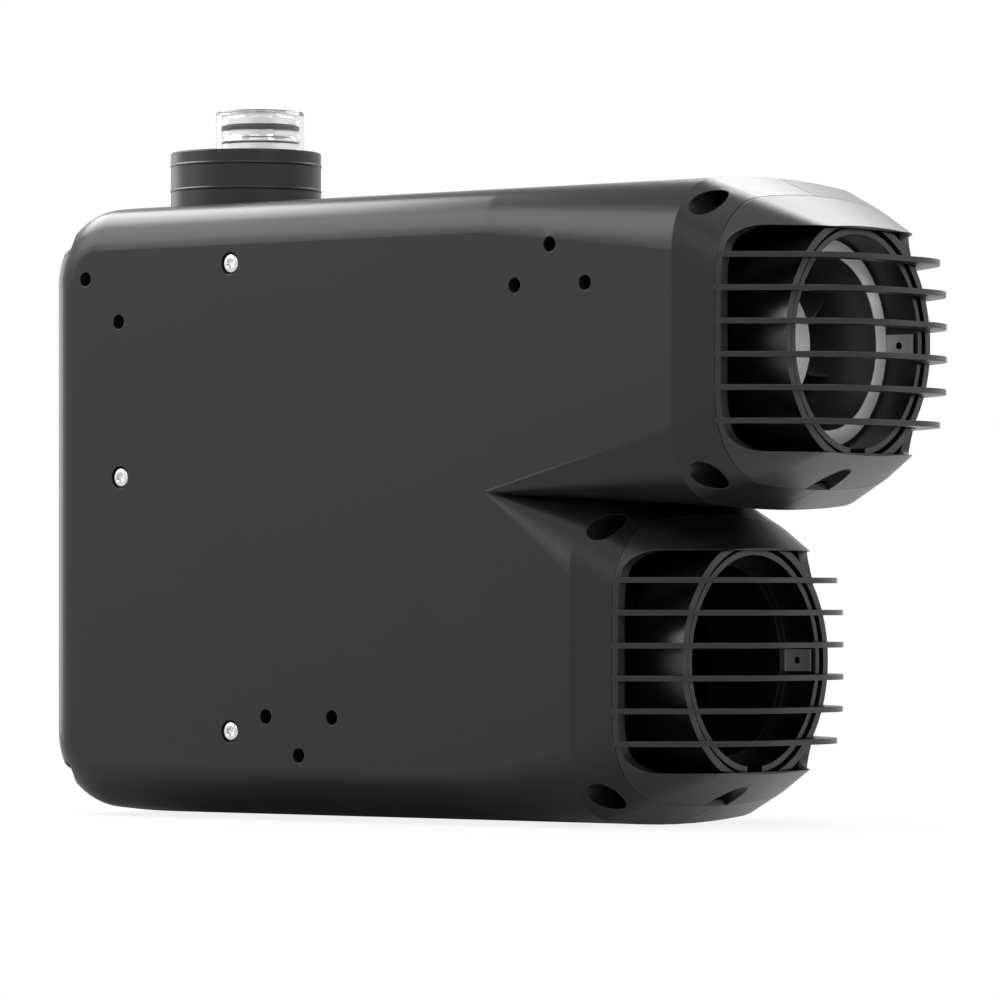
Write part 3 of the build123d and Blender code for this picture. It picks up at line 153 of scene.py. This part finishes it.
# The paper is white to the eye. Near the heater a share of it is lit as real paper is, so that
# the heater's soft shadow stays, and that share fades out with the distance. In reflections the
# paper glows white too, except in an oval beneath the heater where that glow is dimmed: painted
# shade standing in for the heater's own shade.
paper_radius, paper_rings, paper_spokes = 6.0, 25, 64
ring_reach, ring_angle = np.meshgrid(
    np.linspace(0.0, paper_radius, paper_rings),
    np.linspace(0, 2 * np.pi, paper_spokes + 1)[:-1], indexing="ij")
paper_points = np.stack([ring_reach * np.cos(ring_angle), ring_reach * np.sin(ring_angle),
                         0 * ring_reach], -1)
paper_mesh = bpy.data.meshes.new("paper")
paper_mesh.from_pydata(paper_points.reshape(-1, 3).tolist(), [],
                       grid_faces(paper_rings, paper_spokes, False, True).tolist())
paper = bpy.data.objects.new("paper", paper_mesh)
scene.collection.objects.link(paper)
paper_white = bpy.data.materials.new("matt_paper")
paper_white.use_nodes = True
tree = paper_white.node_tree
tree.nodes.clear()
ray = add_node(tree, "ShaderNodeLightPath")
place = add_node(tree, "ShaderNodeTexCoord").outputs["Object"]
distance = add_node(tree, "ShaderNodeVectorMath", {"operation": "LENGTH"}, links={0: place})
own_white = fade(tree, distance.outputs["Value"], 0.25, 0.75, 0.86, 1.0)
sharp_ray = join(tree, "MAXIMUM", ray.outputs["Is Glossy Ray"], ray.outputs["Is Transmission Ray"])
any_ray = join(tree, "MAXIMUM", sharp_ray, ray.outputs["Is Camera Ray"])
share = join(tree, "MULTIPLY", any_ray, own_white)
lit = add_node(tree, "ShaderNodeBsdfDiffuse", values={"Color": linear("#f4f4f4")})
# The painted shade is an oval, twice as long as it is wide, whose middle lies a little to the
# near rear.
oval_squeeze, oval_shift = (0.5, 1.0, 0.0), (0.025, 0.03, 0.0)
under = add_node(tree, "ShaderNodeVectorMath", {"operation": "MULTIPLY_ADD"},
                 {1: oval_squeeze, 2: oval_shift}, {0: place})
reach = add_node(tree, "ShaderNodeVectorMath", {"operation": "LENGTH"},
                 links={0: under.outputs["Vector"]})
# Painted shade: the glow seen in reflections dims inside the oval beneath the heater.
shade = fade(tree, reach.outputs["Value"], 0.05, 0.14, 0.03, 0.9)
seen_white = join(tree, "MAXIMUM", shade, ray.outputs["Is Camera Ray"])
bright = add_node(tree, "ShaderNodeEmission", values={"Color": linear("#ffffff")},
                  links={"Strength": seen_white})
mixed = add_node(tree, "ShaderNodeMixShader",
                 links={0: share, 1: lit.outputs[0], 2: bright.outputs[0]})
add_node(tree, "ShaderNodeOutputMaterial", links={"Surface": mixed.outputs[0]})
paper_mesh.materials.append(paper_white)


# Casing. Two half shells of glass-filled polypropylene, injection moulded in a spark-eroded tool
# and screwed together on the mid-plane. The fine even grain gives a satin dark grey.
def finish_of(name, tint, dark, rough, grain_mm, grain_depth,
              cloud_mm=60.0, edge_mm=0.0, edge_highlight_tint=None, **values):
    """A surface whose tint drifts towards a darker one over a distance, with a grain of a size in
    millimetres that lifts it by a share of that size and drifts its roughness. Where an edge's
    rounding and an edge highlight tint are given, the edges catch the light as if they were rounded
    so, and their colour turns towards that lighter tint: a painted highlight along the edges."""
    metre, rough_drift = 1000.0, 0.04
    made = bpy.data.materials.new(name)
    made.use_nodes = True
    tree = made.node_tree
    tree.nodes.clear()
    place = add_node(tree, "ShaderNodeTexCoord").outputs["Object"]
    cloud = add_node(tree, "ShaderNodeTexNoise",
                     values={"Scale": metre / cloud_mm, "Detail": 2.0}, links={"Vector": place})
    colour = add_node(tree, "ShaderNodeMix", {"data_type": "RGBA"},
                      {6: linear(tint), 7: linear(dark)},
                      {0: cloud.outputs["Fac"]}).outputs[2]
    grain = add_node(tree, "ShaderNodeTexNoise",
                     values={"Scale": metre / grain_mm, "Detail": 3.0}, links={"Vector": place})
    spread = add_node(tree, "ShaderNodeMapRange",
                      values={"To Min": rough - rough_drift, "To Max": rough + rough_drift},
                      links={"Value": grain.outputs["Fac"]})
    relief = add_node(tree, "ShaderNodeBump",
                      values={"Strength": 1.0, "Distance": grain_depth * grain_mm / metre},
                      links={"Height": grain.outputs["Fac"]})
    # The lighter tint towards the edges is a painted highlight, not wear.
    if edge_highlight_tint:
        soft_edge = add_node(tree, "ShaderNodeBevel", {"samples": 6}, {"Radius": edge_mm / metre})
        tree.links.new(soft_edge.outputs[0], relief.inputs["Normal"])
        flat = add_node(tree, "ShaderNodeNewGeometry").outputs["Normal"]
        turn = add_node(tree, "ShaderNodeVectorMath", {"operation": "DOT_PRODUCT"},
                        links={0: soft_edge.outputs[0], 1: flat})
        # Painted highlight: the further the rounded normal turns from the flat one, the more
        # lighter tint.
        edge_highlight_share = add_node(tree, "ShaderNodeMapRange",
                          values={"From Min": 0.995, "From Max": 0.85, "To Max": 0.6},
                          links={"Value": turn.outputs["Value"]})
        colour = add_node(tree, "ShaderNodeMix", {"data_type": "RGBA"}, {7: linear(edge_highlight_tint)},
                          {0: edge_highlight_share.outputs[0], 6: colour}).outputs[2]
    shader = add_node(tree, "ShaderNodeBsdfPrincipled", values=values,
                      links={"Base Color": colour, "Roughness": spread.outputs[0],
                             "Normal": relief.outputs[0]})
    add_node(tree, "ShaderNodeOutputMaterial", links={"Surface": shader.outputs[0]})
    return made


def dress(material, *names):
    """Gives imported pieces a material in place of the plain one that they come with."""
    for name in names:
        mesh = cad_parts[name].data
        mesh.materials.clear()
        mesh.materials.append(material)


# Spark-eroded grain of about 0.5 mm, drawn at 0.8 mm so that it shows: a soft satin sheen.
mirror_share = "Specular IOR Level"
# Its edges are painted a lighter grey: a painted highlight along them.
moulded_casing = finish_of("moulded_polypropylene", "#191919", "#161617", 0.3, 0.8, 0.035,
                           edge_mm=0.5, edge_highlight_tint="#343435", IOR=1.49, **{mirror_share: 0.33})
dress(moulded_casing, "near_shell", "far_shell")

# Grilles. Each is one moulding of the same dark polypropylene, a little glossier on the fins'
# drawn faces, clipped to its head by a tongue and held by one screw.
# Its edges are painted a lighter grey: a painted highlight along them.
moulded_grille = finish_of("moulded_grille_polypropylene", "#222223", "#1f1f20", 0.34, 0.7, 0.04,
                           edge_mm=0.5, edge_highlight_tint="#3a3a3b", IOR=1.49, **{mirror_share: 0.38})
dress(moulded_grille, "upper_grille", "lower_grille")


# Side screws. Three zinc-plated steel pan heads with a star recess, cold-headed and screwed into
# rivet nuts through the near plate. The plating is bright, and the recess dark.
def put(name, points, faces, material, body, *nodes):
    """A finished piece from points in millimetres, with doubled points merged and its faces turned
    outwards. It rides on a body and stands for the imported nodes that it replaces."""
    mesh = bpy.data.meshes.new(name)
    metres = np.asarray(points).reshape(-1, 3) / 1000.0
    mesh.from_pydata(metres.tolist(), [], np.asarray(faces).tolist())
    work = bmesh.new()
    work.from_mesh(mesh)
    bmesh.ops.remove_doubles(work, verts=work.verts, dist=1e-6)
    bmesh.ops.recalc_face_normals(work, faces=work.faces)
    work.to_mesh(mesh)
    work.free()
    mesh.shade_smooth()
    mesh.set_sharp_from_angle(angle=math.radians(38.0))
    mesh.materials.append(material)
    made = bpy.data.objects.new(name, mesh)
    bpy.context.scene.collection.objects.link(made)
    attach(made, body)
    if nodes:
        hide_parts(*nodes)


def soften(corners, cuts, steps=6):
    """A closed outline with its corners rounded. Near a corner C the points follow
    (1-t)^2 A + 2t(1-t) C + t^2 B, where A and B lie on its two sides, a cut's length from C."""
    corners = np.array(corners, float)
    before = np.roll(corners, 1, 0) - corners
    after = np.roll(corners, -1, 0) - corners
    size_before = np.linalg.norm(before, axis=1)
    size_after = np.linalg.norm(after, axis=1)
    longest_cut = 0.49 * np.minimum(size_before, size_after)
    cuts = np.minimum(np.broadcast_to(cuts, len(corners)), longest_cut)
    a = corners + before * (cuts / size_before)[:, None]
    b = corners + after * (cuts / size_after)[:, None]
    t = np.linspace(0.0, 1.0, steps)[None, :, None]
    curve = (1 - t) ** 2 * a[:, None] + 2 * t * (1 - t) * corners[:, None] + t ** 2 * b[:, None]
    return curve.reshape(-1, 2)


def turned(profile, centre, axis, steps, lobes=None):
    """A profile of (distance along, radius) turned about an axis through a centre:
    point(i, t) = centre + along_i * axis + radius_i * lobe_i(t) * (cos t * u + sin t * v),
    where lobe_i(t) = 1 + depth_i * cos(6t) gives the rows with a depth a six-pointed outline."""
    profile = np.asarray(profile, float)
    axis = np.asarray(axis, float)
    u = np.array((0.0, 0.0, 1.0)) if abs(axis[2]) < 0.5 else np.array((1.0, 0.0, 0.0))
    v = np.cross(axis, u)
    t = np.linspace(0, 2 * np.pi, steps + 1)[:-1]
    depth = np.zeros(len(profile)) if lobes is None else np.asarray(lobes, float)
    reach = profile[:, 1, None] * (1.0 + depth[:, None] * np.cos(6 * t)[None, :])
    round_it = np.cos(t)[:, None] * u + np.sin(t)[:, None] * v
    lengthways = profile[:, 0, None, None] * axis
    return np.asarray(centre, float) + lengthways + reach[..., None] * round_it[None]


bright_zinc = finish_of("bright_zinc_plate", "#e0e0e1", "#d4d4d5", 0.16, 0.8, 0.01, Metallic=1.0)
side_screw_seat = -80.3  # y of the seat under the heads, which end flush with the plate
side_screw_places = ((-104.1, 262.6), (-173.5, 162.4), (-104.1, 41.6))
shank_rows = [(14.0, 0.0), (13.6, 1.7), (12.8, 2.3), (0.0, 2.4)]
head_rows = [(0.0, 4.3), (-0.3, 4.7), (-0.9, 4.72), (-1.5, 4.45), (-1.95, 3.9), (-2.15, 3.1)]
recess_rows = [(-2.18, 2.35), (-2.05, 2.1), (-0.7, 1.85), (-0.55, 1.5), (-0.5, 0.0)]
screw_rows = shank_rows + head_rows + recess_rows
screw_lobes = [0.0] * len(shank_rows + head_rows) + [0.1, 0.2, 0.2, 0.15, 0.0]
screw_steps = 48
screws = [turned(screw_rows, (x, side_screw_seat, z), (0, 1, 0), screw_steps, screw_lobes)
          for x, z in side_screw_places]
screw_faces = grid_faces(len(screw_rows), screw_steps, False, True)
put("side_pan_screws", np.concatenate([screw.reshape(-1, 3) for screw in screws]),
    np.concatenate([screw_faces + i * len(screw_rows) * screw_steps for i in range(3)]),
    bright_zinc, "casing", "side_screws")
dress(bright_zinc, "rivet_nuts")

# Other screws. Thread-rolled from blackened steel. They sit deep in the casing's recesses, behind
# the notches under the grilles, and in the corners of the burner's flange.
black_steel = finish_of("blackened_steel", "#2a2a2a", "#202020", 0.35, 0.8, 0.04, Metallic=1.0)
dress(black_steel, "corner_screws", "upper_grille_screw", "lower_grille_screw", "burner_screws")

# Duct sockets and their housings. Black glass-filled nylon with a clean gloss from a polished
# mould, so that the rings show as thin bright lines round the dark mouths. Their edges are also
# painted lighter, a painted highlight that adds to those lines.
black_nylon = finish_of("black_nylon", "#131313", "#101010", 0.3, 0.8, 0.03,
                        edge_mm=0.5, edge_highlight_tint="#2c2c2c", IOR=1.53)
dress(black_nylon, "upper_duct_socket", "lower_duct_socket",
      "upper_duct_housing", "lower_duct_housing")


# Duct clips. Punched from bright spring sheet, with a hole in the plate. Each lies in the socket's
# bore over its window, with both ends curled towards the duct, where they catch the light.
def spring_clip(mouth_x, centre_z):
    """A holed strip. Flat, its rings of points run from the hole's circle to the strip's outline:
    point(s, t) = hole(t) + s * (outline(t) - hole(t)). Then the strip is bent: beyond the plate a
    point turns round an arc towards the duct. A second sheet, a thickness in front of the first,
    closes it."""
    half_plate, half_strip, half_width = 9.0, 9.9, 5.1
    bend, thick, hole = 2.6, 0.5, 1.7
    behind_mouth, beside_axis = 10.1, 48.15
    t = np.linspace(0, 2 * np.pi, clip_spokes + 1)[:-1]
    s = np.linspace(0.0, 1.0, clip_rings)[:, None]
    ring_x, ring_z = hole * np.cos(t), hole * np.sin(t)
    stretch = 1.0 / np.maximum(np.abs(np.cos(t)) / half_strip, np.abs(np.sin(t)) / half_width)
    flat_x = ring_x + s * (stretch * np.cos(t) - ring_x)
    flat_z = ring_z + s * (stretch * np.sin(t) - ring_z)
    past = np.maximum(np.abs(flat_x) - (half_plate - bend), 0.0)
    turn = np.minimum(past / bend, np.pi / 2)
    sheets = []
    for lift in (0.0, thick):
        radius = bend - lift
        along = np.minimum(np.abs(flat_x), half_plate - bend) + radius * np.sin(turn)
        inwards = lift + radius * (1.0 - np.cos(turn))
        sheets.append(np.stack([np.sign(flat_x) * along, -inwards, flat_z], -1))
    points = np.concatenate([sheets[0], sheets[1][::-1]])
    return points + np.array((mouth_x - behind_mouth, beside_axis, centre_z))


clip_rings, clip_spokes = 25, 96
upper_centre_z, lower_centre_z = 220.35, 75.65
spring_sheet = finish_of("spring_sheet", "#c6c6c4", "#b4b4b2", 0.34, 1.2, 0.015, Metallic=0.5)
for name, mouth_x, centre_z in (("upper", 198.8, upper_centre_z), ("lower", 141.5, lower_centre_z)):
    put(f"{name}_spring_clip", spring_clip(mouth_x, centre_z),
        grid_faces(2 * clip_rings, clip_spokes, True, True),
        spring_sheet, "casing", f"{name}_duct_clip")


# Collar. A black polyamide moulding that the combustion-air hose is pushed over, with two thin
# round ribs that grip it and a softly rounded rim. Its flange lies under the casing's top.
def supported(profile, near=0.2, shortest=2.0):
    """The profile with two more points on each long straight, close to its ends, so that the
    straight shades flat right up to the roundings beside it."""
    profile = np.array(profile, float)
    rows = [profile[0]]
    for start, end in zip(profile, np.roll(profile, -1, 0)):
        length = np.hypot(*(end - start))
        if length > shortest:
            step = (end - start) * near / length
            rows += [start + step, end - step]
        rows.append(end)
    return np.array(rows[:-1])


upwards = (0, 0, 1)
collar_black = finish_of("black_polyamide", "#1f1f20", "#1c1c1d", 0.36, 0.7, 0.04,
                         IOR=1.53, **{mirror_share: 0.35})
collar_bore, collar_outside, flange_outside = 34.1, 36.7, 41.9
collar_foot, flange_top, rim_start = 262.0, 264.6, 321.2
rib_half_width, rib_rise = 0.75, 0.4
collar_rows = [(collar_foot, collar_bore), (rim_start, collar_bore), (321.75, 34.35),
               (322.0, 34.9), (322.0, 35.8), (321.75, 36.4), (rim_start, collar_outside)]
for rib_z in (315.4, 303.2):
    collar_rows += [(rib_z - rib_half_width * s, collar_outside + rib_rise * (1.0 - s * s))
                    for s in np.linspace(-1.0, 1.0, 9)]
collar_rows += [(flange_top, collar_outside), (flange_top, flange_outside),
                (collar_foot, flange_outside)]
collar_rows = supported(collar_rows)
collar_steps = 144
put("ribbed_air_collar", turned(collar_rows, (-164.7, 0, 0), upwards, collar_steps),
    grid_faces(len(collar_rows), collar_steps, True, True),
    collar_black, "casing", "combustion_air_collar")

# Exhaust spigot. Drawn and rolled stainless tube: the bead stops the exhaust hose and the groove
# above it carries the sealing ring. It is bright with soft grey bands.
drawn_steel = finish_of("drawn_stainless", "#ffffff", "#f8f8f7", 0.12, 0.9, 0.01, Metallic=1.0)
tube_foot = [(254.0, 15.8), (254.0, 18.0)]
tube_bead = [(326.0, 18.0), (326.3, 20.0), (327.5, 20.05), (328.9, 18.0)]
tube_groove = [(331.6, 18.0), (331.9, 18.35), (332.3, 18.0), (332.3, 16.7), (334.9, 16.7),
               (334.9, 18.0)]
tube_mouth = [(338.4, 18.0), (338.8, 17.6), (338.8, 16.2), (338.4, 15.8)]
tube_cuts = [0.1, 0.1] + [0.5, 0.35, 0.5, 0.6] + [0.2] * len(tube_groove + tube_mouth)
tube_profile = supported(soften(tube_foot + tube_bead + tube_groove + tube_mouth, tube_cuts))
spigot_middle, spigot_steps = (-155.7, 0, 0), 120
put("beaded_exhaust_tube", turned(tube_profile, spigot_middle, upwards, spigot_steps),
    grid_faces(len(tube_profile), spigot_steps, True, True),
    drawn_steel, "casing", "exhaust_spigot")
dress(drawn_steel, "exhaust_elbow")

# Sealing ring. Black nitrile rubber, moulded and slightly dull. It is stretched into the spigot's
# groove and stands a little above it.
ring_rubber = finish_of("nitrile_rubber", "#141414", "#101010", 0.5, 0.8, 0.03,
                        **{mirror_share: 0.12})
dress(ring_rubber, "exhaust_o_ring")

# Transport cap. Injection-moulded clear polystyrene, pushed over the spigot. It shows as faint
# outlines at its walls and a grey rim, with the cut-off gate as a small dimple on the top.
clear_cap = finish_of("clear_polystyrene", "#f1f2f2", "#eff0f0", 0.03, 2.0, 0.0004,
                      IOR=1.59, **{"Transmission Weight": 1.0, mirror_share: 0.25})
cap_wall = [(298.0, 20.4), (298.0, 21.5), (341.6, 21.5), (341.6, 1.6)]
cap_wall_rounded = soften(cap_wall, [0.3, 0.3, 1.0, 0.3])[:-6]
cap_gate = [(341.6, 1.6), (341.2, 1.3), (341.2, 0.0)]
cap_inside = [(340.5, 0.0), (340.5, 19.6), (340.3, 20.2), (339.7, 20.4)]
cap_profile = supported(np.concatenate([cap_wall_rounded, cap_gate, cap_inside]))
put("clear_transport_cap", turned(cap_profile, spigot_middle, upwards, spigot_steps),
    grid_faces(len(cap_profile), spigot_steps, True, True), clear_cap, "cap", "spigot_cap")


# Circulation fan. A smoke-grey shroud is pressed into the upper socket, with a light grey ring
# snapped on its front. The rotor, of the same nylon, has seven thin twisted blades and a light
# grey disc on its hub.
def fan_blades(front_x, centre_z, count):
    """Blades between the hub and the tip circle. A section's outline point is
    c = chord/2 * cos w along the blade and h = camber * (1 - (2c/chord)^2) + thickness/2 * sin w
    across it; it is turned by a pitch that falls from root to tip, and laid round the axis at
    the radius of its section."""
    root, tip, chord, camber, middle_setback = 28.6, 40.9, 20.4, 1.5, 5.0
    share = np.linspace(0.0, 1.0, blade_sections)[:, None]
    w = np.linspace(0, 2 * np.pi, blade_points + 1)[:-1][None, :]
    radius = root + share * (tip - root)
    pitch = np.radians(48.0 - 20.0 * share)
    c = chord / 2 * np.cos(w)
    half_thickness = (0.95 - 0.25 * share) * (1.15 + 0.35 * np.cos(w)) / 1.3
    h = camber * (1.0 - (2 * c / chord) ** 2) + half_thickness * np.sin(w)
    along = c * np.cos(pitch) - h * np.sin(pitch)
    aside = c * np.sin(pitch) + h * np.cos(pitch)

    def closed(values):
        """The sections, with each end drawn together into a point by one more row."""
        middle = np.repeat(values.mean(1)[:, None], blade_points, 1)
        return np.concatenate([middle[:1], values, middle[-1:]])

    along, aside = closed(along), closed(aside)
    radius = np.concatenate([radius[:1], radius, radius[-1:]])
    start = np.arange(count)[:, None, None] * 2 * np.pi / count
    angle = start + (aside / radius)[None]
    x = np.broadcast_to(front_x - middle_setback + along, angle.shape)
    return np.stack([x, radius * np.sin(angle), centre_z + radius * np.cos(angle)], -1)


smoke_nylon = finish_of("smoke_grey_nylon", "#3c3c3d", "#333334", 0.3, 0.8, 0.03, IOR=1.53)
shroud_grey = finish_of("light_grey_abs", "#e4e4e2", "#dadad8", 0.4, 0.8, 0.03, IOR=1.53)
fan_middle, forwards = (0, 0, upper_centre_z), (1, 0, 0)
hub_front, hub_steps, inlet_steps = 152.8, 96, 120
blade_count, blade_sections, blade_points = 7, 14, 40
shaft_rows = [(118.0, 0.0), (118.0, 2.5), (138.9, 2.5)]
hub_inside = [(138.9, 7.5), (150.4, 7.5), (150.4, 27.4), (138.9, 27.6)]
hub_outside = [(138.9, 29.6), (151.6, 29.6), (hub_front, 27.6), (hub_front, 9.0), (151.9, 7.0),
               (151.9, 0.0)]
hub_rows = shaft_rows + hub_inside + hub_outside
hub = turned(hub_rows, fan_middle, forwards, hub_steps)
blades = fan_blades(hub_front, upper_centre_z, blade_count)
blade_rows = blade_sections + 2
blade_faces = grid_faces(blade_rows, blade_points, False, True)
first_points = [hub.size // 3 + i * blade_rows * blade_points for i in range(blade_count)]
put("fan_rotor_moulding", np.concatenate([hub.reshape(-1, 3), blades.reshape(-1, 3)]),
    np.concatenate([grid_faces(len(hub_rows), hub_steps, False, True)]
                   + [blade_faces + first for first in first_points]),
    smoke_nylon, "fan_rotor", "circulation_fan")
dress(smoke_nylon, "fan_shroud")
ring_profile = soften([(181.2, 39.8), (182.0, 39.8), (182.0, 47.4), (181.2, 47.4)],
                      [0.2, 0.35, 0.35, 0.2])
put("fan_inlet_ring", turned(ring_profile, fan_middle, forwards, inlet_steps),
    grid_faces(len(ring_profile), inlet_steps, True, True), shroud_grey, "casing")
disc_profile = soften([(152.7, 8.6), (153.3, 8.6), (153.3, 27.3), (152.7, 27.3)],
                      [0.1, 0.2, 0.2, 0.1])
put("fan_hub_disc", turned(disc_profile, fan_middle, forwards, hub_steps),
    grid_faces(len(disc_profile), hub_steps, True, True), shroud_grey, "fan_rotor")

# Motors. The circulation fan's and the blower's both have a deep-drawn, zinc-plated steel can. The
# one is held by the shroud's struts, the other by the blower's housing.
plated_can = finish_of("zinc_plated_can", "#b4b6b8", "#9ea0a4", 0.3, 1.5, 0.03, Metallic=1.0)
dress(plated_can, "circulation_fan_motor", "combustion_motor")

# Sheet-metal pieces inside. Galvanised steel, pressed and folded, with a faint zinc spangle. They
# are screwed or slotted between the shells.
galvanised = finish_of("galvanised_sheet", "#b8babc", "#9c9ea2", 0.34, 9.0, 0.01,
                       cloud_mm=14.0, Metallic=1.0)
dress(galvanised, "bulkhead", "blower_bracket", "air_divider", "exhaust_clamp", "burner")

# Castings. The exchanger, mixing chamber, blower housing and gas valve are pressure-cast
# aluminium, with the soft grain of a blasted mould.
cast_aluminium = finish_of("cast_aluminium", "#a9aaab", "#949698", 0.42, 1.1, 0.08, Metallic=1.0)
dress(cast_aluminium, "heat_exchanger", "mixing_chamber", "blower_housing", "gas_valve")

# Black mouldings of the burner side. Glass-filled polyester for the blower's cover and impeller
# and for what the board carries, phenolic for the electrical inlet, the sensor and the cut-out.
blower_black = finish_of("black_polyester", "#222223", "#1c1c1d", 0.4, 0.8, 0.05, IOR=1.53)
dress(blower_black, "blower_cover", "combustion_impeller", "board_components")
inlet_black = finish_of("black_phenolic", "#1d1d1e", "#191919", 0.3, 0.8, 0.04, IOR=1.55)
dress(inlet_black, "electrical_inlet", "air_temperature_sensor", "overheat_switch")

# Gasket, pipes, union and coils. Pressed mineral fibre, drawn copper, turned brass, and enamelled
# wire under brown tape.
pressed_fibre = finish_of("pressed_fibre", "#b9b09c", "#a59c88", 0.85, 1.4, 0.15)
drawn_copper = finish_of("drawn_copper", "#c98a66", "#b87a58", 0.25, 1.5, 0.02, Metallic=1.0)
turned_brass = finish_of("turned_brass", "#cdb06a", "#bd9f5a", 0.25, 0.6, 0.03, Metallic=1.0)
coil_tape = finish_of("coil_tape", "#7a3a22", "#6c321c", 0.45, 2.0, 0.05)
dress(pressed_fibre, "heat_exchanger_gasket")
dress(drawn_copper, "gas_inlet_pipe", "gas_jet_pipe")
dress(turned_brass, "gas_union_nut")
dress(coil_tape, "gas_valve_coils")

# Electrode, control board and its posts. White glazed ceramic, green solder lacquer over
# glass-fibre board, and natural nylon.
glazed_ceramic = finish_of("glazed_ceramic", "#ece9e0", "#e2dfd6", 0.15, 2.0, 0.01)
board_lacquer = finish_of("board_lacquer", "#1f5b34", "#1a4d2c", 0.25, 0.8, 0.02)
natural_nylon = finish_of("natural_nylon", "#dad8cf", "#cfcdc4", 0.4, 0.8, 0.04)
dress(glazed_ceramic, "ignition_electrode")
dress(board_lacquer, "control_board")
dress(natural_nylon, "board_posts")
